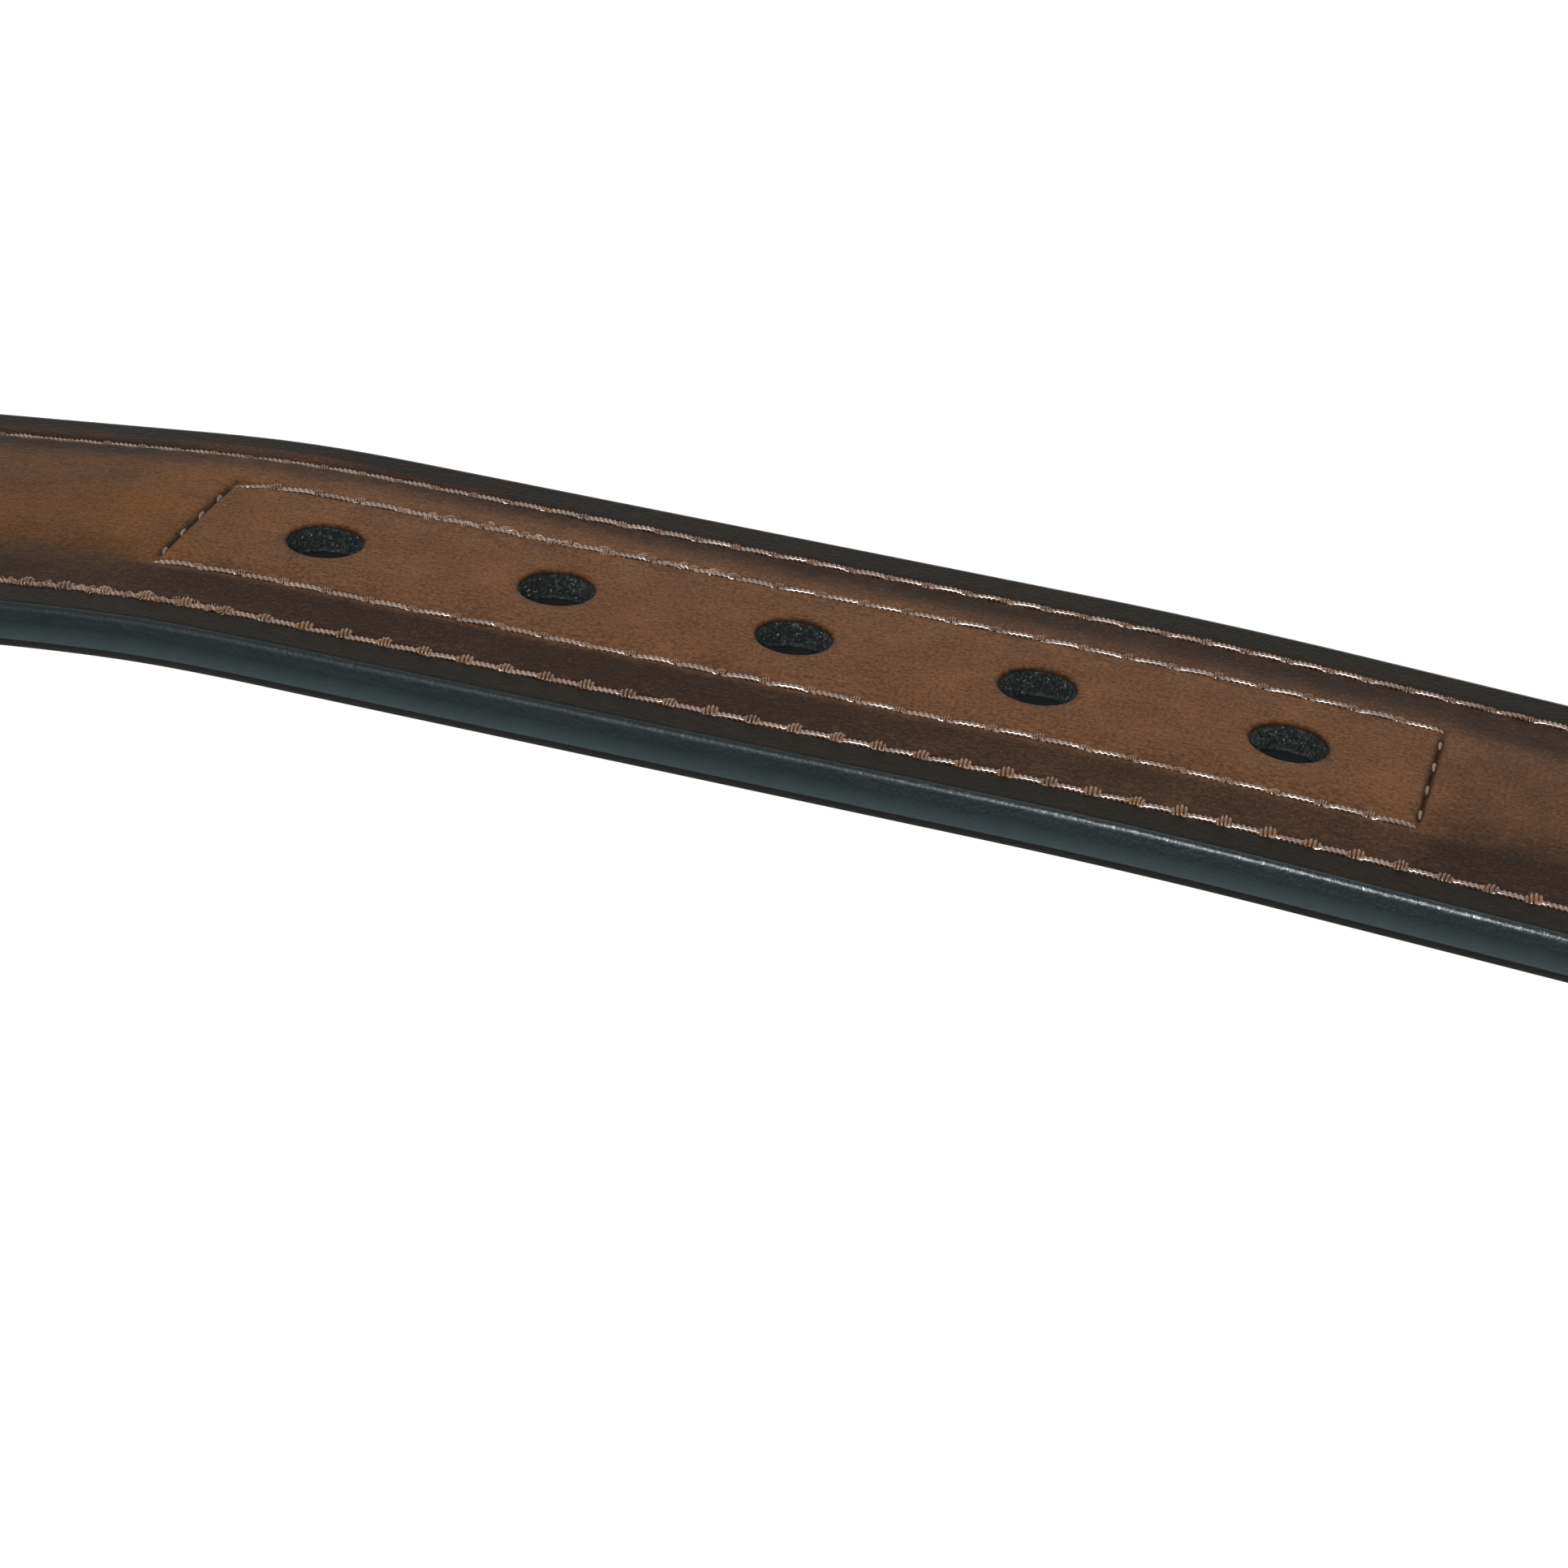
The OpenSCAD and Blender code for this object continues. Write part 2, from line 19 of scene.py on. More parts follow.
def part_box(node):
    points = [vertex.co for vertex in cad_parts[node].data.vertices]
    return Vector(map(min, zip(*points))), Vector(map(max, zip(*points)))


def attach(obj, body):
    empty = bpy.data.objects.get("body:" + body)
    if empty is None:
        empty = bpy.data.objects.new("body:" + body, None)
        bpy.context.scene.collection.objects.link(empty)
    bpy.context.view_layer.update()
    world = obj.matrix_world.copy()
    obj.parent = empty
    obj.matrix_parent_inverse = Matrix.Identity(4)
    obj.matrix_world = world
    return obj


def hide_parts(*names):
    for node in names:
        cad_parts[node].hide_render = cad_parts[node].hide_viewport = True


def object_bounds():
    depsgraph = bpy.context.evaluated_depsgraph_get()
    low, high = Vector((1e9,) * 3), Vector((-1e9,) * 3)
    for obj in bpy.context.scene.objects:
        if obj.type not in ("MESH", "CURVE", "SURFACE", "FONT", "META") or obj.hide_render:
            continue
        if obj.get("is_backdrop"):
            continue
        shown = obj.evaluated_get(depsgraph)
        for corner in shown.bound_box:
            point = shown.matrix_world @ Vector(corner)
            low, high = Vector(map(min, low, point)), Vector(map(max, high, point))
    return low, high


bl_info = {
    "name": "Leather girth",
    "version": (1, 0, 0),
    "blender": (4, 5, 0),
    "location": "View3D > Sidebar > Girth",
    "description": "Builds the leather, thread, keepers and metal finishes of a single-strap girth",
    "category": "Add Mesh",
}

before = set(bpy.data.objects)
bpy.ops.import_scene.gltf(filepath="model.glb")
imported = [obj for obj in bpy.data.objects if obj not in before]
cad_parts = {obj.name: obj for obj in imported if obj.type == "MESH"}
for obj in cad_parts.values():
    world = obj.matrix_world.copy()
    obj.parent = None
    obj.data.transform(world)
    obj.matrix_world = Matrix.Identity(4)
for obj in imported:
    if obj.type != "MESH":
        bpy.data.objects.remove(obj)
CAD_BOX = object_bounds()
MM = 0.001

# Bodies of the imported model
STRAP = "strap"
LOOP = "loop"


def linear(hex_code):
    """Turns an sRGB hex colour into linear red, green and blue."""
    parts = [int(hex_code[i:i + 2], 16) / 255 for i in (1, 3, 5)]
    return tuple(p / 12.92 if p <= 0.04045 else ((p + 0.055) / 1.055) ** 2.4 for p in parts)


def length_prop(name, description, default):
    """A length that a user may change, given here in millimetres."""
    return FloatProperty(name=name, description=description, default=default * MM, unit="LENGTH", precision=4)


def colour_prop(name, description, hex_code):
    """A colour that a user may change."""
    return FloatVectorProperty(
        name=name, description=description, default=linear(hex_code), subtype="COLOR", min=0, max=1)


class GirthStrapSizes(bpy.types.PropertyGroup):
    """Sizes of the strap and its layers."""

    length: length_prop("Length", "From the point to the heel pin", 914)
    width: length_prop("Width", "Width of the strap", 47.2)
    face: length_prop("Face", "Thickness of the face leather", 1.6)
    core: length_prop("Core", "Thickness of the core and the filler under the edges", 2.4)
    lining: length_prop("Lining", "Thickness of the lining leather", 0.8)
    crown: length_prop("Crown", "Rise of the middle over the edges", 0.6)
    edge_round: length_prop("Edge rounding", "Radius of the painted edge's upper corner", 0.85)
    point: length_prop("Point", "Length of the tapered point", 44)
    nose: length_prop("Nose", "Radius of the point's end", 9)
    stay: length_prop("Stay", "Thickness of the woven stay under the box", 0.4)
    turn_back: length_prop("Turned end", "Length turned back round the heel pin", 76)


class GirthHoleSizes(bpy.types.PropertyGroup):
    """Sizes of the row of holes and of the box stitched round it."""

    count: IntProperty(name="Holes", description="Number of punched holes", default=5, min=1, max=6)
    pitch: length_prop("Pitch", "From one hole to the next", 25.4)
    size: length_prop("Hole", "Diameter of a hole", 7.8)
    first: length_prop("First hole", "From the point to the first hole", 89)
    box_width: length_prop("Box width", "Width of the stitched box", 21.3)
    box_margin: length_prop("Box margin", "From the outer holes to the ends of the box", 14.2)


class GirthThreadSizes(bpy.types.PropertyGroup):
    """Sizes of the thread and of its stitches."""

    inset: length_prop("Row inset", "From the edge to the edge row", 5.1)
    edge_stitch: length_prop("Edge stitch", "Length of a stitch in the edge rows, six to the inch", 4.233)
    box_stitch: length_prop("Box stitch", "Length of a stitch in the box", 4.7)
    edge_thread: length_prop("Edge thread", "Thickness of the thread in the edge rows", 0.68)
    box_thread: length_prop("Box thread", "Thickness of the thread in the box", 0.66)
    slant: FloatProperty(
        name="Slant", description="Turn of a stitch against its row", default=math.radians(4),
        subtype="ANGLE")
    seed: IntProperty(name="Seed", description="Seed of the small differences between stitches", default=7)


class GirthColours(bpy.types.PropertyGroup):
    """Colours of the finishes."""

    leather: colour_prop("Leather", "Brown of the face leather", "#704c31")
    leather_dark: colour_prop("Leather streaks", "Darker streaks in the face leather", "#482e1c")
    # Also the colour of the painted shade in the grooves of the rows
    burnish_and_shade: colour_prop("Burnish", "Dark brown rubbed in outside the box", "#2a1b10")
    edge_dye: colour_prop("Edge dye", "Black dye along the edges and round the holes", "#191814")
    edge_paint: colour_prop("Edge paint", "Paint on the cut edges", "#151a1b")
    lining: colour_prop("Lining", "Brown of the lining leather", "#4c3221")
    lining_edge: colour_prop("Lining edge", "Dark edge of the lining leather", "#0a0706")
    thread: colour_prop("Thread", "Thread of the face and the back", "#86654e")
    tuft: colour_prop("Tuft", "Loose thread ends at the needle holes", "#6d513b")
    fibre: colour_prop("Fibre", "Pressed fibre in the walls of the holes", "#0b1011")
    fibre_pale: colour_prop("Worn fibre", "Worn strands of that fibre", "#5a6666")
    fleck: colour_prop("Flecks", "Pale ends of fibres in the walls of the holes", "#b9b9b6")
    nickel: colour_prop("Nickel", "Plating of the buckle and the posts", "#c8c5bd")
    wire: colour_prop("Steel wire", "Wire of the staples and the heel pin", "#a7a8a8")
    felt: colour_prop("Felt", "Felt of the filler", "#6b6965")
    felt_dark: colour_prop("Felt shade", "Darker fibres in that felt", "#3a3937")
    tape: colour_prop("Tape", "Threads of the woven stay", "#2c2c2c")
    tape_dark: colour_prop("Tape gaps", "Gaps between those threads", "#141414")
    floor: colour_prop("Floor", "Plain floor of the stage", "#7c7c7a")


def smooth(low, high, x):
    """Goes from 0 at low to 1 at high with soft ends."""
    t = np.clip((x - low) / (high - low), 0, 1)
    return t * t * (3 - 2 * t)


def steps(start, end, step):
    """Evenly spaced values from start to end, no further apart than step."""
    return np.linspace(start, end, max(2, math.ceil((end - start) / step) + 1))


class Strap:
    """The route, the outline and the levels of the strap, in millimetres."""

    # Bends of the route near the point and behind the holes: length and turn to the left in degrees
    POINT_BEND = (29, 2.6)
    HOLE_BEND = ((8, 1.5), (10, 3.5), (8, 1.5))
    # From the last hole to its bend, and the straight length after that bend
    HOLE_BEND_GAP = -1.8
    LEAD = 37
    # Radius and angle of the large turn, and radius of the wide bend that completes it
    TURN = (105, 150)
    EASE_RADIUS = 350
    # Rise of the heel pin over the rest of the strap, and the length over which the slope sets in
    PIN_RISE = 7.65
    SLOPE_BLEND = 16
    # Thickness of the keepers' leather, and the length of a ramp of the crown
    KEEPER = 1.8
    RAMP = 12
    # Lengths back from the heel pin: the end without a crown, the gap in the inner layers, the tongue's slot
    FLAT_END = 65
    LAYER_GAP = 12.5
    FACE_SLOT = 21
    # The slot's length behind the fold and half its width, and the corners of the turned end
    RETURN_SLOT = 13
    SLOT_HALF = 4
    RETURN_CORNER = 6
    # How far the hole core runs past the box, and the gap where two ends butt
    CORE_OVER = 9
    BUTT_GAP = 0.3
    # Play between two layers, play round the stay, and how far the stay ends inside the box
    PLAY = 0.03
    STAY_PLAY = 0.02
    STAY_MARGIN = 1.5
    # Falls of the crown on either side of the middle: share, start and end
    CROWN_FALLS = ((0.46, 5, 11.6), (0.54, 10.6, 17.6))
    # Width of the edge paint on the face
    PAINTED = 0.75
    # Strength of the dark finish at which the brown is full and the black dye sets in
    BROWN = 0.8

    def __init__(self, strap, holes, threads):
        in_mm = lambda group, *names: [getattr(group, name) / MM for name in names]
        self.length, self.point, self.nose, self.turn_back = in_mm(
            strap, "length", "point", "nose", "turn_back")
        self.face, self.crown, self.edge_round, self.stay = in_mm(
            strap, "face", "crown", "edge_round", "stay")
        self.lining_n, core, width = in_mm(strap, "lining", "core", "width")
        self.pitch, first, size = in_mm(holes, "pitch", "first", "size")
        box_width, box_margin = in_mm(holes, "box_width", "box_margin")
        self.inset, self.edge_stitch, self.box_stitch = in_mm(threads, "inset", "edge_stitch", "box_stitch")
        self.half = width / 2
        self.core_n = self.lining_n + core
        self.edge_n = self.core_n + self.face
        self.hole_r = size / 2
        self.hole_s = first + self.pitch * np.arange(holes.count)
        self.box_half = box_width / 2
        self.box_from = self.hole_s[0] - box_margin
        self.box_to = self.hole_s[-1] + box_margin
        self.core_end = self.box_to + self.CORE_OVER
        self.seam_u = self.half - self.inset
        self.layers_end = self.length - self.LAYER_GAP
        self.fold_r = (self.core_n + self.KEEPER) / 2
        self.pin_n = self.core_n - self.fold_r
        self.fold_mid = self.fold_r + self.face / 2
        self.fold_l = math.pi * self.fold_mid
        self.end = self.length + self.fold_l + self.turn_back
        self.arch_r = ((self.point - self.nose) ** 2 / (self.half - self.nose) + self.nose + self.half) / 2
        self.arch_u = self.arch_r - self.half
        self.nose_y = self.point - self.nose
        self.lay_route()

    def lay_route(self):
        """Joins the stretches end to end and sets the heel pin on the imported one."""
        bend_to = self.hole_s[0] + self.pitch
        turn_r, turn_a = self.TURN
        ease_a = 180 - sum(turn for part, turn in self.HOLE_BEND) - turn_a
        stretches = [
            (bend_to - self.POINT_BEND[0], 0),
            self.POINT_BEND,
            (self.hole_s[-1] + self.HOLE_BEND_GAP - bend_to, 0),
            *self.HOLE_BEND,
            (self.LEAD, 0),
            (turn_r * math.radians(turn_a), turn_a),
            (self.EASE_RADIUS * math.radians(ease_a), ease_a),
        ]
        flat_l = sum(part[0] for part in stretches)
        self.run = self.length - flat_l
        stretches.append((self.run, 0))
        self.rates = np.array([math.radians(turn) / part for part, turn in stretches])
        self.starts = np.cumsum([0] + [part for part, turn in stretches[:-1]])
        self.slope = self.PIN_RISE / self.run
        self.slope_from = flat_l - self.SLOPE_BLEND / 2
        self.headings = np.cumsum([-self.POINT_BEND[1]] + [turn for part, turn in stretches[:-1]])
        self.headings = np.radians(self.headings)
        self.corners = np.zeros((len(stretches), 2))
        for i, (part, turn) in enumerate(stretches[:-1]):
            self.corners[i + 1] = self.plan(np.full(1, i), np.full(1, part))[0]
        self.shift = np.zeros(3)
        low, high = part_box("heel_pin")
        pin = np.array((low + high) / 2) / MM
        self.shift = pin - self.place(np.full(1, self.length), np.zeros(1), np.full(1, self.pin_n))[0]

    def plan(self, part, distance):
        """Places on the floor plan, some way along a stretch."""
        start = self.headings[part]
        rate = self.rates[part]
        bent = np.abs(rate) > 0
        radius = 1 / np.where(bent, rate, 1)
        heading = start + rate * distance
        level = np.where(part == len(self.rates) - 1, math.sqrt(1 - self.slope ** 2), 1)
        ahead = distance * level
        x = np.where(bent, radius * (np.sin(heading) - np.sin(start)), ahead * np.cos(start))
        y = np.where(bent, -radius * (np.cos(heading) - np.cos(start)), ahead * np.sin(start))
        return self.corners[part] + np.stack([x, y], -1)

    def axes(self, s):
        """Places on the middle line with the directions of s, u and n there."""
        part = np.clip(np.searchsorted(self.starts, s, "right") - 1, 0, len(self.starts) - 1)
        distance = s - self.starts[part]
        heading = self.headings[part] + self.rates[part] * distance
        into = np.clip((s - self.slope_from) / self.SLOPE_BLEND, 0, 1)
        sine = self.slope * smooth(0, 1, into)
        cosine = np.sqrt(1 - sine ** 2)
        past = np.maximum(s - self.slope_from - self.SLOPE_BLEND, 0)
        rise = self.slope * (self.SLOPE_BLEND * (into ** 3 - into ** 4 / 2) + past)
        xy = self.plan(part, distance)
        origin = np.concatenate([xy, (self.half + rise)[..., None]], -1)
        zero = np.zeros_like(s)
        ahead = np.stack([np.cos(heading) * cosine, np.sin(heading) * cosine, sine], -1)
        across = np.stack([-np.cos(heading) * sine, -np.sin(heading) * sine, cosine], -1)
        out = np.stack([np.sin(heading), -np.cos(heading), zero], -1)
        return origin, ahead, across, out

    def place(self, s, u, n):
        """World places of strap coordinates. Past the heel pin the strap folds back behind itself."""
        origin, ahead, across, out = self.axes(np.minimum(s, self.length))
        past = np.maximum(s - self.length, 0)
        angle = np.minimum(past / self.fold_mid, math.pi)
        back = np.maximum(past - self.fold_l, 0)
        reach = self.fold_r + n - self.core_n
        u = u - self.spread_at(s, u)
        lift = (self.pin_n + reach * np.cos(angle))[..., None]
        forth = (reach * np.sin(angle) - back)[..., None]
        return origin + self.shift + lift * out + forth * ahead + u[..., None] * across

    def spread_at(self, s, u):
        """Spread of the lower edge, on which the holed part of the strap has stood."""
        spread = 0.4
        band = 3
        stands_from = self.point + 20
        stands_to = 300
        lifts_at = 330
        low_edge = smooth(self.half - band, self.half, -u)
        return spread * low_edge * smooth(self.point, stands_from, s) * smooth(lifts_at, stands_to, s)

    def half_at(self, s):
        """Half the strap's width: the outline of the point, the full width and the turned end's corners."""
        y = np.clip(self.point - s, 0, self.point)
        arch = np.sqrt(np.maximum(self.arch_r ** 2 - y ** 2, 0)) - self.arch_u
        nose = np.sqrt(np.maximum(self.nose ** 2 - (y - self.nose_y) ** 2, 0))
        meet = self.arch_r * self.nose_y / (self.arch_r - self.nose)
        half = np.where(y > meet, nose, arch)
        corner = self.RETURN_CORNER
        into = np.clip(s - (self.end - corner), 0, corner)
        return half - corner + np.sqrt(corner ** 2 - into ** 2)

    def edge_distance(self, s, u):
        """Distance in from the outline."""
        y = self.point - s
        side = np.abs(u)
        arch = self.arch_r - np.hypot(side + self.arch_u, np.maximum(y, 0))
        nose = self.nose - np.hypot(u, y - self.nose_y)
        in_nose = (y - self.nose_y) * self.arch_u > side * self.nose_y
        inside = np.where(in_nose, nose, arch)
        return np.maximum(np.where(y > 0, inside, self.half_at(s) - side), 0)

    def face_slot(self, s):
        """Half width of the tongue's slot in the face leather, through the fold to the turned end."""
        r = self.SLOT_HALF
        first = self.length - self.FACE_SLOT + r
        last = self.length + self.fold_l + self.RETURN_SLOT - r
        outside = np.maximum(np.maximum(first - s, s - last), 0)
        return np.sqrt(np.maximum(r ** 2 - outside ** 2, 0))

    def no_slot(self, s):
        """Half width of the slot in a layer that has none."""
        return np.zeros_like(s)

    def rise(self, s, u):
        """Rise of the crown over the level of the edges, flat at the point and in front of the buckle."""
        dome = np.ones_like(u)
        for share, start, end in self.CROWN_FALLS:
            dome = dome - share * smooth(start, end, np.abs(u))
        lifted = smooth(self.point, self.point + self.RAMP, s)
        flat_from = self.length - self.FLAT_END - self.RAMP
        lowered = smooth(flat_from, flat_from + self.RAMP, s)
        return self.crown * dome * lifted * (1 - lowered)

    def box_distance(self, s, u):
        """Distance from the line of the stitched box."""
        long = np.maximum(self.box_from - s, s - self.box_to)
        wide = np.abs(u) - self.box_half
        outside = np.hypot(np.maximum(long, 0), np.maximum(wide, 0))
        return np.abs(outside + np.minimum(np.maximum(long, wide), 0))

    def rim_distance(self, s, u):
        """Distance from the rim of the nearest hole."""
        return np.min([np.hypot(s - hole, u) for hole in self.hole_s], axis=0) - self.hole_r

    def grooves(self, s, u):
        """Depth that the rows of thread press into the leather, deeper where the needle went in."""
        edge_depth = 0.28
        edge_width = 0.5
        box_depth = 0.24
        box_width = 0.42
        end_depth = 0.3
        at_needle = 0.3
        pull = 1 + at_needle * np.cos(2 * math.pi * s / self.edge_stitch)
        rows = np.exp(-((self.edge_distance(s, u) - self.inset) / edge_width) ** 2)
        rows = rows * (1 - smooth(self.layers_end - 2, self.layers_end, s))
        box = np.exp(-(self.box_distance(s, u) / box_width) ** 2)
        return edge_depth * rows * pull + box_depth * box + end_depth * self.end_line(s, u)

    def end_line(self, s, u):
        """Nearness to the rows across the ends of the box, 1 on them."""
        line_width = 0.3
        within = smooth(self.box_half - 1, self.box_half - 2, np.abs(u))
        return within * np.exp(-(self.box_distance(s, u) / line_width) ** 2)

    def face_level(self, s, u):
        """Level of the face leather's outside without its grooves."""
        return self.edge_n + self.rise(s, u)

    def face_top(self, s, u):
        """Level of the face leather's outside, with its grooves, its dished holes and its rounded edge."""
        dish_depth = 0.14
        dish_reach = 1.6
        edge = self.edge_distance(s, u)
        r = np.where(u < 0, self.edge_round / 2, self.edge_round)
        over = np.clip(r - edge, 0, r)
        dish = dish_depth * np.exp(-np.maximum(self.rim_distance(s, u), 0) / dish_reach)
        fall = r - np.sqrt(r ** 2 - over ** 2)
        return self.face_level(s, u) - self.grooves(s, u) - dish - fall

    def face_bottom(self, s, u):
        """Level of the face leather's inside, with a painted skirt that hangs over the edge of the core."""
        skirt = 0.26
        hangs = (self.half_at(s) - np.abs(u) < skirt) & (s < self.layers_end)
        return np.where(hangs, self.lining_n + self.PLAY, self.core_n + self.rise(s, u))

    def padding_top(self, s, u):
        """Level of the core's and the filler's outside."""
        return self.core_n + self.rise(s, u) - self.PLAY

    def padding_bottom(self, s, u):
        """Level of the core's and the filler's inside."""
        return np.full_like(s, self.lining_n + self.PLAY)

    def lining_top(self, s, u):
        """Level of the lining's inside, with the recess that takes the stay."""
        room = 0.05
        low = self.box_from + self.STAY_MARGIN
        high = self.box_to - self.STAY_MARGIN
        over_stay = (s > low) & (s < high) & (np.abs(u) < self.stay_half() + room)
        return np.where(over_stay, self.lining_n - self.stay, self.lining_n)

    def lining_bottom(self, s, u):
        """Level of the back, with its rows of thread and a bevelled edge."""
        bevel = 0.1
        deepest = 0.3
        share = 0.6
        fall = np.maximum(bevel - (self.half_at(s) - np.abs(u)), 0)
        return fall + share * np.minimum(self.grooves(s, u), deepest)

    def back_thread(self, s, u):
        """Level of the bobbin rows, sunk a little into the back."""
        return np.full_like(s, 0.12)

    def stay_half(self):
        """Half the width of the stay."""
        return self.box_half - self.STAY_MARGIN

    def stay_top(self, s, u):
        """Level of the stay's outside."""
        return np.full_like(s, self.lining_n - self.STAY_PLAY)

    def stay_bottom(self, s, u):
        """Level of the stay's inside."""
        return np.full_like(s, self.lining_n - self.stay + self.STAY_PLAY)

    def behind_holes(self, s):
        """Goes from 0 behind the last but one hole to 1 behind the box."""
        return smooth(self.box_to - 35, self.box_to + 5, s)

    def upper_border(self, s, u):
        """Rubbed brown above the middle: a soft slope, with a sharp start along the box."""
        up = np.maximum(u, 0)
        boxed = smooth(self.box_from - 7, self.box_from + 2, s) * smooth(self.box_to + 7, self.box_to - 2, s)
        # Lightest towards the point and darkest from the last but one hole on, with a tint inside the box
        lightest = 0.56
        darker = 0.18
        tint = 0.08
        depth = lightest + darker * smooth(self.hole_s[0] - 5, self.hole_s[-2], s)
        plain = self.BROWN * smooth(2, 18, up)
        inside = tint * smooth(5, 10, up)
        return plain + boxed * (depth * smooth(10.6, 12.3, up) + inside - plain)

    def lower_border(self, s, u):
        """Rubbed brown below the middle, which reaches further in towards the point."""
        down = np.maximum(-u, 0)
        narrow = smooth(self.hole_s[0], self.hole_s[-1], s) * smooth(self.box_to + 60, self.box_to + 20, s)
        starts = 8.5 + 3.5 * narrow
        full = 15.5 + 3 * narrow
        paler = 0.14
        return (self.BROWN - paler * self.behind_holes(s)) * smooth(starts, full, down)

    def burnish_and_shade(self, s, u):
        """Strength of the darkening: up to BROWN for the rubbed brown, 1 for the dyed edges and the dark rims
        of the holes, and painted shade in the grooves of the rows.
        """
        at_point = 0.26
        at_buckle = 0.1 + 0.16 * smooth(1, 9, -u)
        towards_point = at_point * smooth(self.box_from + 1, self.box_from - 6, s)
        behind = at_buckle * smooth(self.box_to + 4, self.box_to + 16, s)
        rubbed = self.upper_border(s, u) + self.lower_border(s, u) + towards_point + behind
        # Along the lower edge the dye starts outside the row, further out behind the box
        bare = 0.5
        barer = 1.8
        moved = (bare + barer * self.behind_holes(s)) * (u < 0)
        dyed = smooth(self.inset + 0.4, self.inset - 0.6, self.edge_distance(s, u) + moved)
        # Darker round the rims of the holes, and painted shade in the grooves of the rows
        rim_dark = 0.85
        rim_full = 0.05
        rim_reach = 0.26
        rims = rim_dark * np.exp(-np.maximum(self.rim_distance(s, u) - rim_full, 0) / rim_reach)
        # Painted shade: darker where the rows press deeper into the leather, most at the needle holes
        row_shade = 0.55
        full_groove = 0.3
        rows = row_shade * np.minimum(self.grooves(s, u) / full_groove, 1)
        # Painted shade in the sunk rows across the ends of the box
        end_shade = 0.8
        ends = end_shade * self.end_line(s, u)
        brown = np.minimum(rubbed, self.BROWN)
        return np.clip(np.max([brown, rims, rows, ends, dyed], axis=0), 0, 1)


class Layer:
    """Points and faces of one piece in strap coordinates, with a look (a material's number) for each face."""

    def __init__(self):
        self.points = []
        self.count = 0
        self.faces = []
        self.looks = []

    def add(self, s, u, n):
        """Adds points and gives back their numbers."""
        points = np.stack(np.broadcast_arrays(s, u, n), -1).reshape(-1, 3)
        numbers = np.arange(self.count, self.count + len(points))
        self.points.append(points)
        self.count += len(points)
        return numbers

    def all_points(self):
        """All points so far, as rows of s, u and n."""
        return np.concatenate(self.points)

    def face_all(self, quads, look, flip=False):
        """Adds faces, turned round where flip says so."""
        for quad in quads:
            self.faces.append(tuple(int(k) for k in (quad[::-1] if flip else quad)))
            self.looks.append(look)

    def bridge(self, loops, looks):
        """Joins closed loops of equal count, one after the other."""
        for a, b, look in zip(loops, loops[1:], looks):
            quads = np.stack([a, np.roll(a, -1), np.roll(b, -1), b], -1)
            self.face_all(quads, look)

    def rows(self, rows, look, flip=False):
        """Joins open rows of equal count, one beside the other."""
        for a, b in zip(rows, rows[1:]):
            quads = np.stack([b[:-1], a[:-1], a[1:], b[1:]], -1)
            self.face_all(quads, look, flip)


class Side:
    """One side of a layer: a grid over rings along s and lines across u, left open round the holes."""

    def __init__(self, layer, strap, rings, lines, inset, slot, level, hole_spans, centre):
        self.lines = lines
        self.centre = centre
        self.middle = len(lines)
        half = np.maximum(strap.half_at(rings) - inset, 0)
        gap = np.minimum(slot(rings), half)
        t = np.concatenate([-lines[::-1], lines])
        sign = np.where(np.arange(2 * self.middle) < self.middle, -1, 1)
        s = np.repeat(rings[:, None], 2 * self.middle, 1)
        u = sign * (gap[:, None] + (half - gap)[:, None] * np.abs(t))
        kept = np.ones_like(s, bool)
        inner = np.abs(t) < lines[centre] - 1e-9
        for low, high in hole_spans:
            kept[np.ix_(np.arange(low + 1, high), inner)] = False
        self.gap = gap
        self.index = np.full(s.shape, -1)
        self.index[kept] = layer.add(s[kept], u[kept], level(s[kept], u[kept]))
        closed = gap == 0
        self.index[closed, self.middle] = self.index[closed, self.middle - 1]

    def quads(self, layer, look_at, flip):
        """Faces of the grid. The two middle lines stay apart where the slot is."""
        for j in range(2 * self.middle - 1):
            if j == self.middle - 1:
                continue
            a, b = self.index[:-1, j], self.index[1:, j]
            c, d = self.index[1:, j + 1], self.index[:-1, j + 1]
            whole = (a >= 0) & (b >= 0) & (c >= 0) & (d >= 0)
            line = min(abs(j - self.middle + 0.5), abs(j + 1 - self.middle + 0.5))
            quads = np.stack([a, b, c, d], -1)[whole]
            layer.face_all(quads, look_at(self.lines[int(line)]), flip)

    def loop(self, low, high):
        """The square of points round one hole, counter-clockwise seen from the face."""
        left = self.middle - 1 - self.centre
        right = self.middle + self.centre
        across = np.delete(np.arange(left, right + 1), self.centre + 1)
        return np.concatenate([
            self.index[low:high, left],
            self.index[high, across][:-1],
            self.index[high:low:-1, right],
            self.index[low, across][:0:-1],
        ])

    def edge(self, side):
        """The outermost line on the side of positive or negative u."""
        return self.index[:, -1 if side > 0 else 0]


def half_lines(centre, centre_step, outer):
    """Lines from the middle (0) to the edge (1): even ones over the square of a hole, then the given ones."""
    inner = steps(0, centre, centre_step)
    lines = np.concatenate([inner, outer])
    return lines / lines[-1], len(inner) - 1


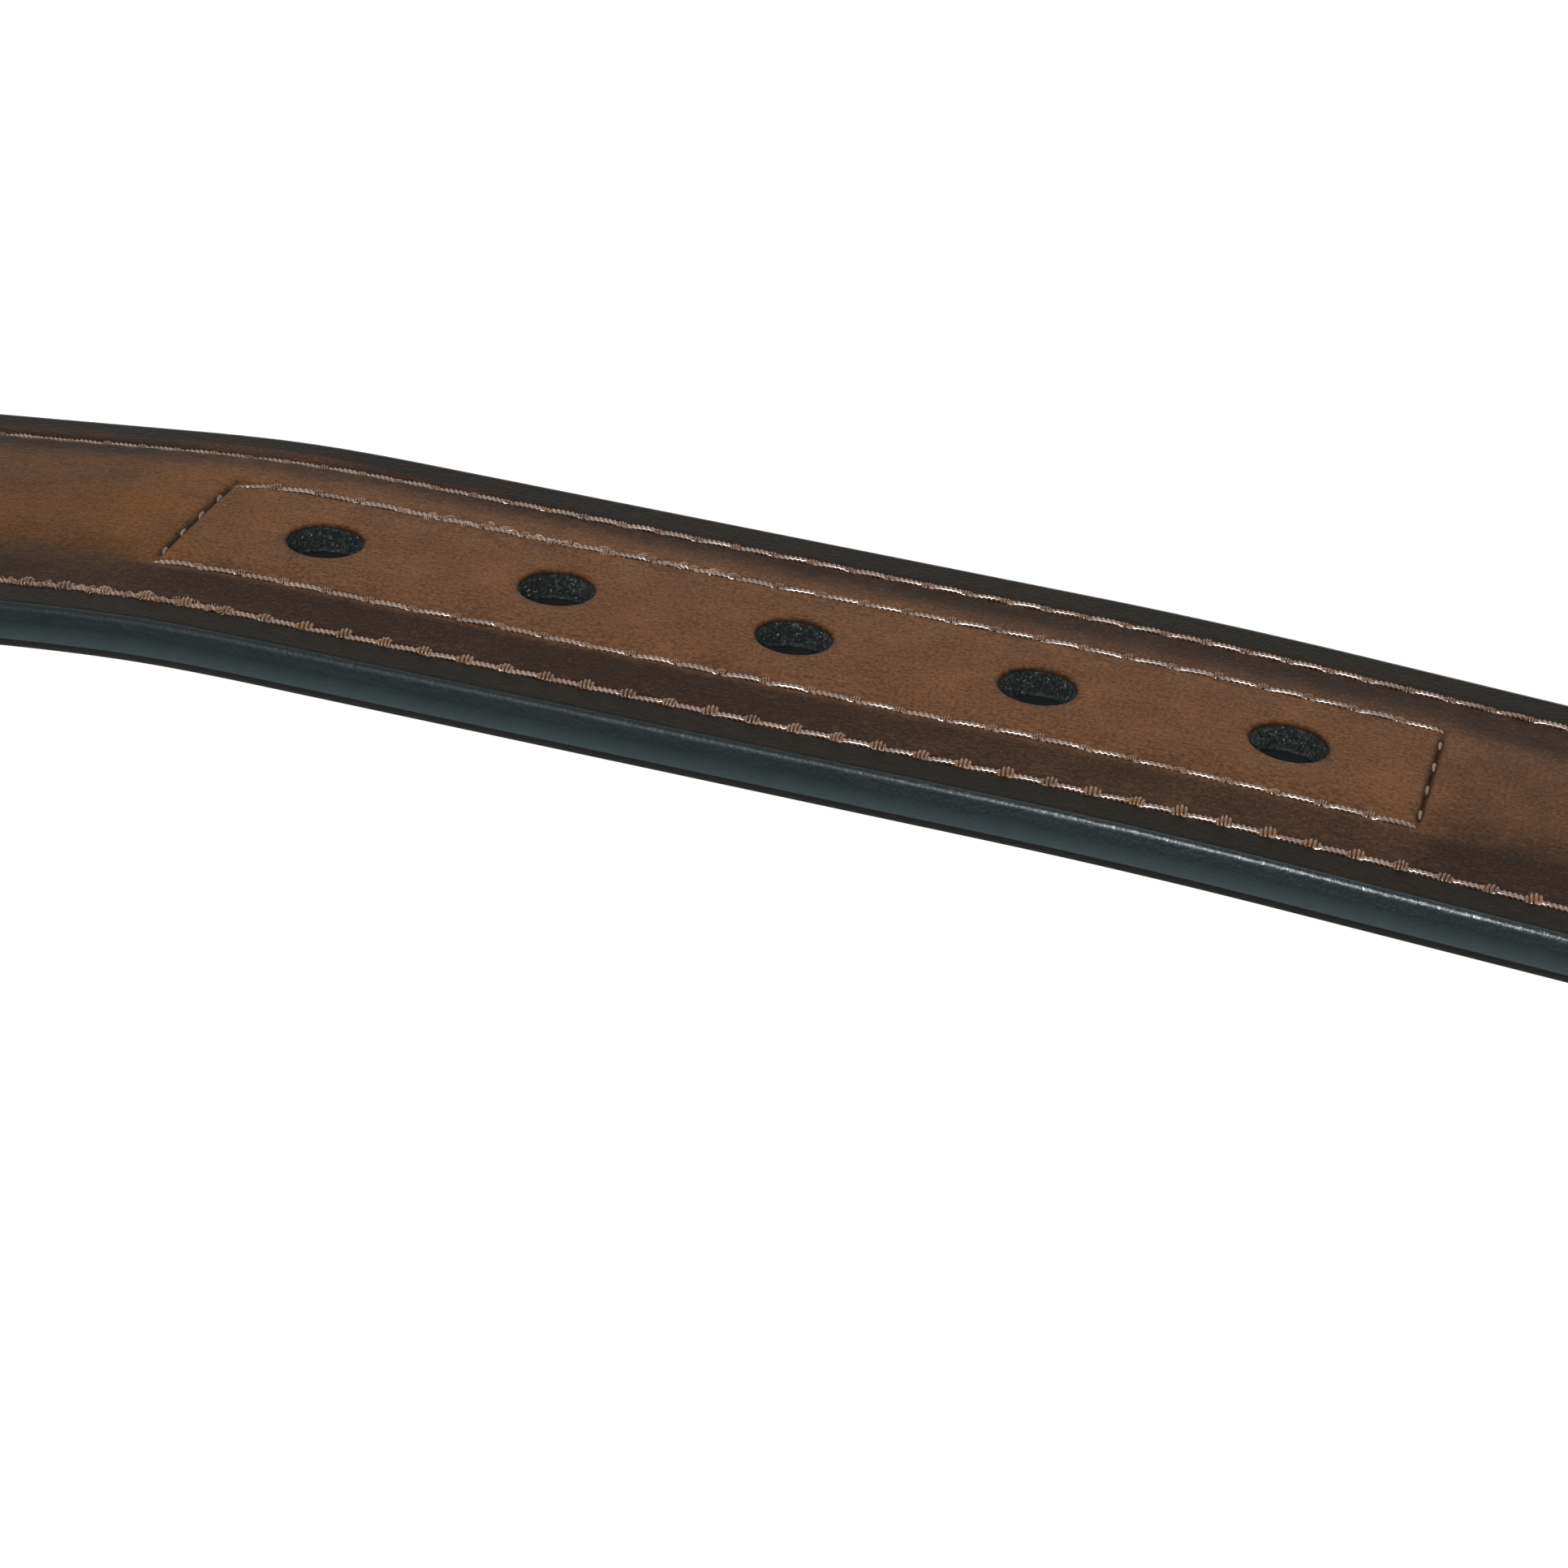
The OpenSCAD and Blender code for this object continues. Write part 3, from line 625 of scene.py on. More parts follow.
def build_layer(strap, rings, top, bottom, centre, looks, inset=0.0, slot=None, holes=None, bulge=0.0):
    """A closed layer of the strap. top and bottom are (level, outer lines); looks are the materials' numbers
    of the outside, the edge and the cut walls."""
    layer = Layer()
    slot = slot or strap.no_slot
    spans = hole_spans(strap, rings) if holes else []
    square_step = 0.5
    centre_step = square_step if holes else centre
    made = []
    for level, outer in (top, bottom):
        lines, last = half_lines(centre, centre_step, outer)
        made.append(Side(layer, strap, rings, lines, inset, slot, level, spans, last))
    upper, lower = made
    paint_from = 1 - strap.PAINTED / strap.half
    upper.quads(layer, lambda line: looks[1] if line >= paint_from else looks[0], False)
    lower.quads(layer, lambda line: looks[0], True)
    for span, hole in zip(spans, strap.hole_s):
        punch(layer, strap, hole, upper.loop(*span), lower.loop(*span), top[0], bottom[0], holes, looks)
    walls = {
        side: edge_wall(layer, upper.edge(side), lower.edge(side), side, bulge, looks[1]) for side in (-1, 1)}
    slot_walls(layer, upper, lower, looks[2])
    if strap.half_at(rings[:1])[0] - inset > 0:
        cap(layer, upper, lower, walls, 0, looks[2])
    cap(layer, upper, lower, walls, -1, looks[2])
    return layer


def hole_spans(strap, rings):
    """Numbers of the first and last ring of each hole's square."""
    reach = strap.pitch / 2
    find = lambda s: int(np.argmin(np.abs(rings - s)))
    return [(find(hole - reach), find(hole + reach)) for hole in strap.hole_s]


# How a hole is cut: the rings round it, the rounding of its rim, the number of rings down its wall, how
# ragged the wall is, and the lip at its foot with the level under which it stands out. A ring up to 1 is at
# that share of the close reach, and one above 1 is on the way from there to the square round the hole.
Punch = namedtuple("Punch", "outward roll down ragged lip lip_n")
CLOSE_REACH = 2.6
FACE_PUNCH = Punch(
    outward=(1.8, 1.55, 1.35, 1.15, 1, 0.74, 0.54, 0.4, 0.29, 0.2, 0.12, 0.06, 0.02, 0),
    roll=0.4, down=6, ragged=0.08, lip=0, lip_n=0)
CORE_PUNCH = Punch(outward=(1.3, 0.4, 0), roll=0.05, down=14, ragged=0.16, lip=0.22, lip_n=2.3)
THIN_PUNCH = CORE_PUNCH._replace(down=2, ragged=0.04)


def punch(layer, strap, hole, top_loop, bottom_loop, top_level, bottom_level, holes, looks):
    """Fills the square round a hole with rings that close on it, and runs its wall down to the other side."""
    square = layer.all_points()[top_loop]
    angle = np.arctan2(square[:, 1], square[:, 0] - hole)
    reach = np.hypot(square[:, 1], square[:, 0] - hole)
    loops = [top_loop]
    for outward in holes.outward:
        close = strap.hole_r + min(outward, 1) * CLOSE_REACH
        radius = close + (reach - close) * max(outward - 1, 0)
        s = hole + radius * np.cos(angle)
        u = radius * np.sin(angle)
        away = np.clip(holes.roll - (radius - strap.hole_r), 0, holes.roll)
        rolled = holes.roll - np.sqrt(holes.roll ** 2 - away ** 2)
        loops.append(layer.add(s, u, top_level(s, u) - rolled))
    rim = layer.all_points()[loops[-1]]
    base = bottom_level(rim[:, 0], rim[:, 1])
    # The wall is ragged by two waves round it, which turn against each other from ring to ring
    fine_crests = 23
    fine_turn = 2.3
    coarse_crests = 9
    coarse_turn = 1.7
    for k in range(1, holes.down + 1):
        ragged = holes.ragged * (k < holes.down)
        fine = np.sin(angle * fine_crests + k * fine_turn + hole)
        shake = ragged * fine * np.sin(angle * coarse_crests - k * coarse_turn)
        n = rim[:, 2] + (base - rim[:, 2]) * (k / holes.down)
        radius = strap.hole_r + np.where(n < holes.lip_n, -holes.lip, shake)
        loops.append(layer.add(hole + radius * np.cos(angle), radius * np.sin(angle), n))
    loops.append(bottom_loop)
    layer.bridge(loops, [looks[0]] * len(holes.outward) + [looks[2]] * holes.down + [looks[0]])


def edge_wall(layer, upper, lower, side, bulge, look):
    """The cut edge between the two sides, rounded a little outwards. Gives back its rows of points."""
    points = layer.all_points()
    rows = [upper]
    count = 4 if bulge else 1
    for k in range(1, count):
        t = k / count
        between = points[upper] * (1 - t) + points[lower] * t
        out = side * bulge * math.sin(math.pi * t)
        rows.append(layer.add(between[:, 0], between[:, 1] + out, between[:, 2]))
    rows.append(lower)
    layer.rows(rows, look, side < 0)
    return rows


def slot_walls(layer, upper, lower, look):
    """Walls of the tongue's slot."""
    open_rings = np.flatnonzero(upper.gap > 0)
    if not len(open_rings):
        return
    first = max(open_rings[0] - 1, 0)
    last = min(open_rings[-1] + 2, len(upper.gap))
    for column, flip in ((upper.middle - 1, False), (upper.middle, True)):
        other = lower.middle - 1 + column - (upper.middle - 1)
        layer.rows([upper.index[first:last, column], lower.index[first:last, other]], look, flip)


def cap(layer, upper, lower, walls, ring, look):
    """Closes an end, in two halves where the slot runs out of it."""
    right = [row[ring] for row in walls[1]][1:-1][::-1]
    left = [row[ring] for row in walls[-1]][1:-1]
    low_row, high_row = lower.index[ring], upper.index[ring]
    if upper.gap[ring] > 0:
        halves = [
            list(low_row[:lower.middle]) + list(high_row[:upper.middle][::-1]) + left,
            list(low_row[lower.middle:]) + right + list(high_row[upper.middle:][::-1]),
        ]
    else:
        halves = [list(low_row) + right + list(high_row[::-1]) + left]
    for half in halves:
        loop = list(dict.fromkeys(int(k) for k in half))
        layer.face_all([np.array(loop)], look, ring == 0)


def link_object(name, data):
    """A new object in the scene."""
    made = bpy.data.objects.new(name, data)
    bpy.context.scene.collection.objects.link(made)
    return made


def store(mesh, key, data):
    """Keeps a number or a direction for each point of a mesh."""
    kind, field = ("FLOAT_VECTOR", "vector") if data.ndim > 1 else ("FLOAT", "value")
    values = np.asarray(data, np.float32).ravel()
    mesh.attributes.new(key, kind, "POINT").data.foreach_set(field, values)


def finish_layer(name, strap, layer, materials, sharp=50):
    """Makes a layer's object: its mesh in metres with smooth shading and merged doubles, and with its strap
    coordinates and its dark finish strength, painted groove shade included, kept for the materials."""
    merged = 0.0008
    points = layer.all_points()
    s, u, n = points.T
    mesh = bpy.data.meshes.new(name)
    mesh.from_pydata((strap.place(s, u, n) * MM).tolist(), [], layer.faces)
    store(mesh, "lay", points * MM)
    store(mesh, "burnish_and_shade", strap.burnish_and_shade(s, u))
    for material in materials:
        mesh.materials.append(material)
    mesh.polygons.foreach_set("material_index", np.asarray(layer.looks, np.int32))
    work = bmesh.new()
    work.from_mesh(mesh)
    bmesh.ops.remove_doubles(work, verts=work.verts, dist=merged * MM)
    work.to_mesh(mesh)
    work.free()
    mesh.shade_smooth()
    mesh.set_sharp_from_angle(angle=math.radians(sharp))
    mesh.validate()
    return link_object(name, mesh)


def hand_in(piece, body, slot, *nodes):
    """Ties a finished piece to its body and hides the solids that it stands for. The material slot that it is
    given is not used.
    """
    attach(piece, body)
    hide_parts(*nodes)


def hand_in_layer(strap, layer, node, slot, *finishes, sharp=50):
    """Makes a layer's piece and hands it in on the strap."""
    piece = finish_layer(node + "_piece", strap, layer, [finish(name) for name in finishes], sharp)
    hand_in(piece, STRAP, slot, node)


def set_inputs(tree, node, inputs):
    """Puts values or links on a node's inputs."""
    for key, value in inputs.items():
        if isinstance(value, bpy.types.NodeSocket):
            tree.links.new(value, node.inputs[key])
        else:
            node.inputs[key].default_value = value


def add_node(tree, family, kind, inputs=None, out=0, **settings):
    """Adds a node to a tree, with its settings and its inputs, and gives back one of its outputs."""
    node = tree.nodes.new(family + kind)
    for key, value in settings.items():
        setattr(node, key, value)
    set_inputs(tree, node, inputs or {})
    return node.outputs[out] if node.outputs else None


def new_material(name):
    """An empty material: one function adds its nodes, and one dresses its shader and gives it back. Scales of
    patterns are written as waves in a millimetre over MM, since Blender counts in metres."""
    material = bpy.data.materials.new(name)
    material.use_nodes = True
    tree = material.node_tree

    def dress(inputs):
        set_inputs(tree, tree.nodes["Principled BSDF"], inputs)
        return material

    return partial(add_node, tree, "ShaderNode"), dress


def rgba(colour, factor=1):
    """A colour for a node, made darker or paler by a factor."""
    return (*(min(factor * part, 1) for part in colour), 1)


# A Mix node that blends two colours: its settings and its sockets
BLEND = {"data_type": "RGBA", "out": 2}
SHARE = 0
UNDER = 6
OVER = 7


def brown_leather(colours):
    """Drum-dyed vegetable-tanned leather, rubbed with dark dye and wax towards the edges: an even mid brown
    with short fine streaks along the strap, a hair-cell grain too shallow to shine, matt dark borders, and
    painted shade in the grooves of its stitched rows."""
    add, dress = new_material("brown bridle leather")
    lay = add("Attribute", out="Vector", attribute_name="lay")
    # Strength of the dark finish, which also holds the painted shade in the grooves
    rubbed = add("Attribute", out="Fac", attribute_name="burnish_and_shade")
    # Streaks about 1 mm long and 0.25 mm wide
    along = add("Mapping", {"Vector": lay, "Scale": (0.7 / MM, 3.2 / MM, 0.7 / MM)})
    streak = add("TexNoise", {"Vector": along, "Scale": 1, "Detail": 3})
    # Cloudy patches about 6 mm wide where the dye took unevenly
    cloud = add("TexNoise", {"Vector": lay, "Scale": 0.16 / MM, "Detail": 3})
    # Specks about 0.35 mm wide
    grain = add("TexNoise", {"Vector": lay, "Scale": 2.6 / MM, "Detail": 2})
    speckled = add("Math", {0: grain, 1: 2.2, 2: -1.5}, operation="MULTIPLY_ADD")
    mixed = add("Math", {0: streak, 1: 0.9, 2: speckled}, operation="MULTIPLY_ADD")
    clouded = add("Math", {0: cloud, 1: 0.9, 2: mixed}, operation="MULTIPLY_ADD")
    uneven = add("Math", {0: clouded, 1: 0.05}, operation="ADD", use_clamp=True)
    streaked = {SHARE: uneven, UNDER: rgba(colours.leather), OVER: rgba(colours.leather_dark)}
    brown = add("Mix", streaked, **BLEND)
    # Painted shade: over a stretch behind the box the leather is made darker and yellower, to take out the
    # pale sheen that the lamps lay there
    shade_tint = (0.92, 0.82, 0.45, 1)
    shade_from, shade_full, shade_fades, shade_to = (mm * MM for mm in (194, 212, 270, 360))
    s = add("SeparateXYZ", {0: lay}, "X")
    behind = add("MapRange", {"Value": s, "From Min": shade_from, "From Max": shade_full})
    before = add("MapRange", {"Value": s, "From Min": shade_to, "From Max": shade_fades})
    stretch = add("Math", {0: behind, 1: before}, operation="MULTIPLY")
    hide = add("Mix", {SHARE: stretch, UNDER: brown, OVER: shade_tint}, **BLEND, blend_type="MULTIPLY")
    # The finish went in unevenly too: brown up to a strength, and black above it. That strength also carries
    # the painted shade in the grooves of the rows.
    patchy = add("Math", {0: uneven, 1: 0.36, 2: -0.2}, operation="MULTIPLY_ADD")
    weight = add("Math", {0: rubbed, 1: patchy}, operation="MULTIPLY")
    edge = add("Math", {0: rubbed, 1: weight}, operation="ADD", use_clamp=True)
    rubbed_in = add("MapRange", {"Value": edge, "From Max": Strap.BROWN})
    dyed_in = add("MapRange", {"Value": edge, "From Min": Strap.BROWN})
    border = add("Mix", {SHARE: rubbed_in, UNDER: hide, OVER: rgba(colours.burnish_and_shade)}, **BLEND)
    worn = add("Mix", {SHARE: dyed_in, UNDER: border, OVER: rgba(colours.edge_dye)}, **BLEND)
    # Pores and hair cells about 0.4 mm wide
    cells = add("TexVoronoi", {"Vector": lay, "Scale": 2.4 / MM}, feature="F1")
    relief = add("Math", {0: grain, 1: 1.2, 2: cells}, operation="MULTIPLY_ADD")
    bump = add("Bump", {"Height": relief, "Strength": 0.6, "Distance": 0.08 * MM})
    gloss = add("MapRange", {"Value": streak, "To Min": 0.46, "To Max": 0.62})
    return dress({"Base Color": worn, "Roughness": gloss, "Normal": bump, "Specular IOR Level": 0.04})


def edge_paint(colours):
    """Several coats of acrylic edge paint, rubbed smooth: slate black, half gloss, with a slow ripple, and
    with a painted reflection of the pale floor that makes it paler towards the lining.
    """
    add, dress = new_material("edge paint")
    lay = add("Attribute", out="Vector", attribute_name="lay")
    # A ripple about 3 mm long along the edge, and pits about 0.4 mm wide
    long = add("Mapping", {"Vector": lay, "Scale": (0.33 / MM, 0.9 / MM, 0.9 / MM)})
    ripple = add("TexNoise", {"Vector": long, "Scale": 1, "Detail": 3})
    dust = add("TexNoise", {"Vector": lay, "Scale": 2.4 / MM, "Detail": 3})
    # Painted reflection of the pale floor: the paint is made paler towards the lining
    pale = 6
    reflection_full = 0.6 * MM
    reflection_to = 3 * MM
    s = add("SeparateXYZ", {0: lay}, "X")
    level = add("SeparateXYZ", {0: lay}, "Z")
    low = add("MapRange", {
        "Value": level, "From Min": reflection_full, "From Max": reflection_to, "To Min": 0.95, "To Max": 0})
    # A little paler tone from the ripple, and the painted floor reflection towards the lining
    rubbed = add("Math", {0: ripple, 1: 0.18, 2: low}, operation="MULTIPLY_ADD")
    shades = {SHARE: rubbed, UNDER: rgba(colours.edge_paint), OVER: rgba(colours.edge_paint, pale)}
    tone = add("Mix", shades, **BLEND)
    both = add("Math", {0: dust, 1: 0.8, 2: ripple}, operation="MULTIPLY_ADD")
    bump = add("Bump", {"Height": both, "Strength": 0.45, "Distance": 0.2 * MM})
    # The buckle and the hand keep the edge bright towards the point
    bright_to = 95 * MM
    dull_from = 130 * MM
    dull = add("MapRange", {"Value": s, "From Min": bright_to, "From Max": dull_from})
    rough = add("MapRange", {"Value": dull, "To Min": 0.07, "To Max": 0.16})
    gloss = add("Math", {0: dust, 1: 0.5, 2: rough}, operation="MULTIPLY_ADD")
    polish = add("MapRange", {"Value": dull, "To Min": 0.45, "To Max": 0.22})
    return dress({
        "Base Color": tone, "Roughness": gloss, "Normal": bump, "Specular IOR Level": polish,
        "Specular Tint": (0.84, 0.94, 1, 1), "Coat Weight": 0.1, "Coat Roughness": 0.3})


def pressed_fibre(colours):
    """Punched wall of black pressed fibre: matt and ragged, with pale fibre ends, and smooth where the punch
    pressed it close at the bottom."""
    add, dress = new_material("pressed black fibre")
    lay = add("Attribute", out="Vector", attribute_name="lay")
    smooth_to = 2.2 * MM
    ragged_from = 2.8 * MM
    level = add("SeparateXYZ", {0: lay}, "Z")
    ragged = add("MapRange", {"Value": level, "From Min": smooth_to, "From Max": ragged_from})
    # Matted clumps about 0.7 mm wide, and fibre ends about 0.3 mm wide
    mat = add("TexNoise", {
        "Vector": lay, "Scale": 1.3 / MM, "Detail": 6, "Roughness": 0.75, "Distortion": 1.6})
    ends = add("TexNoise", {"Vector": lay, "Scale": 3 / MM, "Detail": 2})
    matted = add("MapRange", {"Value": mat, "From Min": 0.5, "From Max": 0.75})
    picked = add("MapRange", {"Value": ends, "From Min": 0.65, "From Max": 0.8})
    worn, shown, rough = (
        add("Math", {0: share, 1: ragged}, operation="MULTIPLY") for share in (matted, picked, mat))
    strands = add("Mix", {SHARE: worn, UNDER: rgba(colours.fibre), OVER: rgba(colours.fibre_pale)}, **BLEND)
    tone = add("Mix", {SHARE: shown, UNDER: strands, OVER: rgba(colours.fleck)}, **BLEND)
    bump = add("Bump", {"Height": rough, "Strength": 0.9, "Distance": 0.3 * MM})
    gloss = add("MapRange", {"Value": ragged, "To Min": 0.3, "To Max": 0.85})
    return dress({"Base Color": tone, "Roughness": gloss, "Normal": bump, "Specular IOR Level": 0.4})


def lining_hide(colours):
    """Thin split hide with its flesh side out: a dry brown nap with pale fibres about 0.4 mm long."""
    add, dress = new_material("lining split")
    lay = add("Attribute", out="Vector", attribute_name="lay")
    nap = add("TexNoise", {"Vector": lay, "Scale": 2.4 / MM, "Detail": 4})
    # Clouds about 11 mm wide
    cloud = add("TexNoise", {"Vector": lay, "Scale": 0.09 / MM, "Detail": 2})
    both = add("Math", {0: nap, 1: 0.6, 2: cloud}, operation="MULTIPLY_ADD")
    spread = add("MapRange", {"Value": both, "From Min": 0.5, "From Max": 1.1})
    hide = add("Mix", {SHARE: spread, UNDER: rgba(colours.lining, 0.6), OVER: rgba(colours.lining)}, **BLEND)
    rubbed = add("Attribute", out="Fac", attribute_name="burnish_and_shade")
    edge = add("MapRange", {"Value": rubbed, "From Min": 0.9, "From Max": 1})
    tone = add("Mix", {SHARE: edge, UNDER: hide, OVER: rgba(colours.lining_edge)}, **BLEND)
    bump = add("Bump", {"Height": nap, "Strength": 0.4, "Distance": 0.12 * MM})
    gloss = add("MapRange", {"Value": nap, "To Min": 0.7, "To Max": 0.95})
    return dress({
        "Base Color": tone, "Roughness": gloss, "Normal": bump, "Specular IOR Level": 0.2,
        "Sheen Weight": 0.25})


def grey_felt(colours):
    """Needled wool felt: soft grey, matt, with fibres about 0.6 mm long."""
    add, dress = new_material("needled felt")
    place = add("TexCoord", out="Object")
    fibres = add("TexNoise", {"Vector": place, "Scale": 1.7 / MM, "Detail": 5})
    tone = add("Mix", {SHARE: fibres, UNDER: rgba(colours.felt_dark), OVER: rgba(colours.felt)}, **BLEND)
    bump = add("Bump", {"Height": fibres, "Strength": 0.6, "Distance": 0.3 * MM})
    return dress({
        "Base Color": tone, "Roughness": 0.95, "Normal": bump, "Specular IOR Level": 0.1,
        "Sheen Weight": 0.3})


def stay_tape(colours):
    """Woven nylon tape: black, plain weave with a thread every 0.8 mm."""
    add, dress = new_material("woven stay tape")
    lay = add("Attribute", out="Vector", attribute_name="lay")
    repeat = 1.6 * MM
    wave_factor = 20
    scale = 1 / repeat / wave_factor
    warp, weft = (
        add("TexWave", {"Vector": lay, "Scale": scale}, 1, bands_direction=axis) for axis in "XY")
    crossed = add("Math", {0: warp, 1: weft}, operation="MULTIPLY")
    tone = add("Mix", {SHARE: crossed, UNDER: rgba(colours.tape_dark), OVER: rgba(colours.tape)}, **BLEND)
    bump = add("Bump", {"Height": crossed, "Strength": 0.6, "Distance": 0.2 * MM})
    return dress({"Base Color": tone, "Roughness": 0.6, "Normal": bump, "Specular IOR Level": 0.4})


def bonded_thread(name, colour, shine, twisted):
    """Polyester thread bonded with a clear resin: tan, with sharp small highlights, and with painted shade in
    the gaps between its plies. Loose ends have lost their resin and their twist, and are dull."""
    add, dress = new_material(name)
    place = add("TexCoord", out="Object")
    # Single filaments about 0.1 mm wide, and shades about 4 mm long
    fine = add("TexNoise", {"Vector": place, "Scale": 8 / MM, "Detail": 2})
    shade = add("TexNoise", {"Vector": place, "Scale": 0.26 / MM, "Detail": 2})
    both = add("Math", {0: fine, 1: 0.6, 2: shade}, operation="MULTIPLY_ADD")
    spread = add("MapRange", {"Value": both, "From Min": 0.5, "From Max": 1.1})
    tone = add("Mix", {SHARE: spread, UNDER: rgba(colour, 0.5), OVER: rgba(colour, 1.5)}, **BLEND)
    if twisted:
        # Painted shade: the gaps between the plies are darkened to about a tenth of the thread colour
        ply = add("Attribute", out="Fac", attribute_name="ply")
        tone = add("Mix", {SHARE: ply, UNDER: rgba(colour, 0.12), OVER: tone}, **BLEND)
    bump = add("Bump", {"Height": fine, "Strength": 0.3, "Distance": 0.04 * MM})
    gloss = add("MapRange", {"Value": fine, "To Min": 0.22, "To Max": 0.42})
    return dress({
        "Base Color": tone, "Roughness": gloss, "Normal": bump, "Specular IOR Level": 0.5,
        "Coat Weight": shine, "Coat Roughness": 0.14, "Coat IOR": 1.8})


def plated_metal(name, colour, polish):
    """Bright plated steel, barrel polished: clear reflections, with faint scuffs about 0.3 mm wide."""
    add, dress = new_material(name)
    place = add("TexCoord", out="Object")
    scuff = add("TexNoise", {"Vector": place, "Scale": 2.6 / MM, "Detail": 4})
    # A haze about 8 mm wide
    haze = add("TexNoise", {"Vector": place, "Scale": 0.12 / MM, "Detail": 2})
    tone = add("Mix", {SHARE: haze, UNDER: rgba(colour), OVER: rgba(colour, 0.8)}, **BLEND)
    mixed = add("Math", {0: scuff, 1: 0.5, 2: haze}, operation="MULTIPLY_ADD")
    gloss = add("MapRange", {
        "Value": mixed, "From Min": 0.5, "From Max": 1, "To Min": polish, "To Max": polish + 0.16})
    bump = add("Bump", {"Height": scuff, "Strength": 0.06, "Distance": 0.05 * MM})
    return dress({"Base Color": tone, "Roughness": gloss, "Normal": bump, "Metallic": 1})


def floor_board(colours):
    """Matt white studio board, lit from behind so that it stays pale, with a tooth about 2.5 mm wide."""
    add, dress = new_material("white studio board")
    place = add("TexCoord", out="Object")
    tooth = add("TexNoise", {"Vector": place, "Scale": 0.4 / MM, "Detail": 2})
    bump = add("Bump", {"Height": tooth, "Strength": 0.02, "Distance": 0.1 * MM})
    return dress({
        "Base Color": rgba(colours.floor), "Roughness": 0.9, "Normal": bump, "Emission Color": (1, 1, 1, 1),
        "Emission Strength": 0.95})


MATERIAL_MAKERS = {
    "leather": brown_leather,
    "paint": edge_paint,
    "fibre": pressed_fibre,
    "lining": lining_hide,
    "felt": grey_felt,
    "tape": stay_tape,
    "thread": lambda colours: bonded_thread("bonded thread", colours.thread, 1, True),
    "tuft": lambda colours: bonded_thread("loose thread ends", colours.tuft, 0.1, False),
    "whisker": lambda colours: bonded_thread("stray filaments", colours.thread, 1, False),
    "nickel": lambda colours: plated_metal("nickel-plated steel", colours.nickel, 0.12),
    "wire": lambda colours: plated_metal("bright steel wire", colours.wire, 0.22),
    "floor": floor_board,
}
made_materials = {}


def finish(name):
    """A finish of the girth, made once."""
    if name not in made_materials:
        made_materials[name] = MATERIAL_MAKERS[name](bpy.context.scene.girth_colours)
    return made_materials[name]


def read_strap():
    """The strap from the sizes in the sidebar."""
    scene = bpy.context.scene
    return Strap(scene.girth_strap, scene.girth_holes, scene.girth_threads)


def point_rings(strap):
    """Rings over the tapered point, close together at its end."""
    nose = strap.nose * (1 - np.cos(np.linspace(0, math.radians(80), 15)))
    return np.concatenate([nose, steps(nose[-1] + 1.5, strap.point, 2)])


# Steps between rings along the plain strap, near the fold and round the ends of the tongue's slot
WIDE_STEP = 4.6
NEAR_STEP = 1.5
SLOT_STEP = 0.35
RINGS_PER_PITCH = 40
# Places of rings or points beside a pressed line
BESIDE_LINE = np.array([-0.5, -0.25, 0, 0.25, 0.5])


def hole_rings(strap):
    """Rings over the squares of the holes."""
    reach = strap.pitch / 2
    count = RINGS_PER_PITCH * len(strap.hole_s) + 1
    return np.linspace(strap.hole_s[0] - reach, strap.hole_s[-1] + reach, count)


def face_rings(strap):
    """Rings of the face leather: close where the box is, wide along the rest, close round the fold."""
    holes = hole_rings(strap)
    close_step = holes[1] - holes[0]
    close_from = 58
    close_to = 248
    slot = strap.length - strap.FACE_SLOT
    slot_full = slot + strap.SLOT_HALF
    near = slot - 3
    fold_to = strap.length + strap.fold_l
    slot_back = fold_to + strap.RETURN_SLOT
    slot_thins = slot_back - strap.SLOT_HALF
    corner = strap.end - strap.RETURN_CORNER
    # Start, end and step of each stretch
    stretches = [
        (strap.point, close_from, 1.4), (close_from, holes[0], close_step), (holes[-1], close_to, close_step),
        (close_to, near, WIDE_STEP), (near, slot, 1), (slot, slot_full, SLOT_STEP),
        (slot_full, strap.layers_end, NEAR_STEP), (strap.layers_end, strap.length, NEAR_STEP),
        (strap.length, fold_to, 0.8), (fold_to, slot_thins, NEAR_STEP), (slot_thins, slot_back, SLOT_STEP),
        (slot_back, corner, WIDE_STEP),
    ]
    end_turn = corner + strap.RETURN_CORNER * np.sin(np.linspace(0, math.pi / 2, 9))
    end_rows = [end + BESIDE_LINE for end in (strap.box_from, strap.box_to)]
    skirt_end = [strap.layers_end + 0.05]
    parts = [point_rings(strap), holes, end_turn, *end_rows, skirt_end]
    parts += [steps(*stretch) for stretch in stretches]
    return tidy_rings(np.concatenate(parts), holes)


def tidy_rings(rings, kept):
    """Sorted rings without near doubles, with the kept ones left as they are."""
    double = 0.02
    rings = np.sort(rings)
    clear = np.array([np.min(np.abs(kept - s)) > double for s in rings])
    outside = (rings < kept[0]) | (rings > kept[-1])
    rings = np.sort(np.concatenate([rings[clear & outside], kept]))
    return rings[np.concatenate([[True], np.diff(rings) > double])]


def layer_rings(strap, start, end, holed, step=WIDE_STEP):
    """Rings of an inner layer between two lengths."""
    holes = hole_rings(strap) if holed else np.array([start])
    parts = [holes]
    if start == 0:
        parts += [point_rings(strap), steps(strap.point, holes[0], 2)]
    parts.append(steps(holes[-1], end, step))
    slot = strap.length - strap.FACE_SLOT
    if end > slot:
        parts += [steps(slot, slot + strap.SLOT_HALF, SLOT_STEP), [slot - 1]]
    rings = np.concatenate(parts)
    return tidy_rings(rings[(rings >= start) & (rings <= end)], holes)


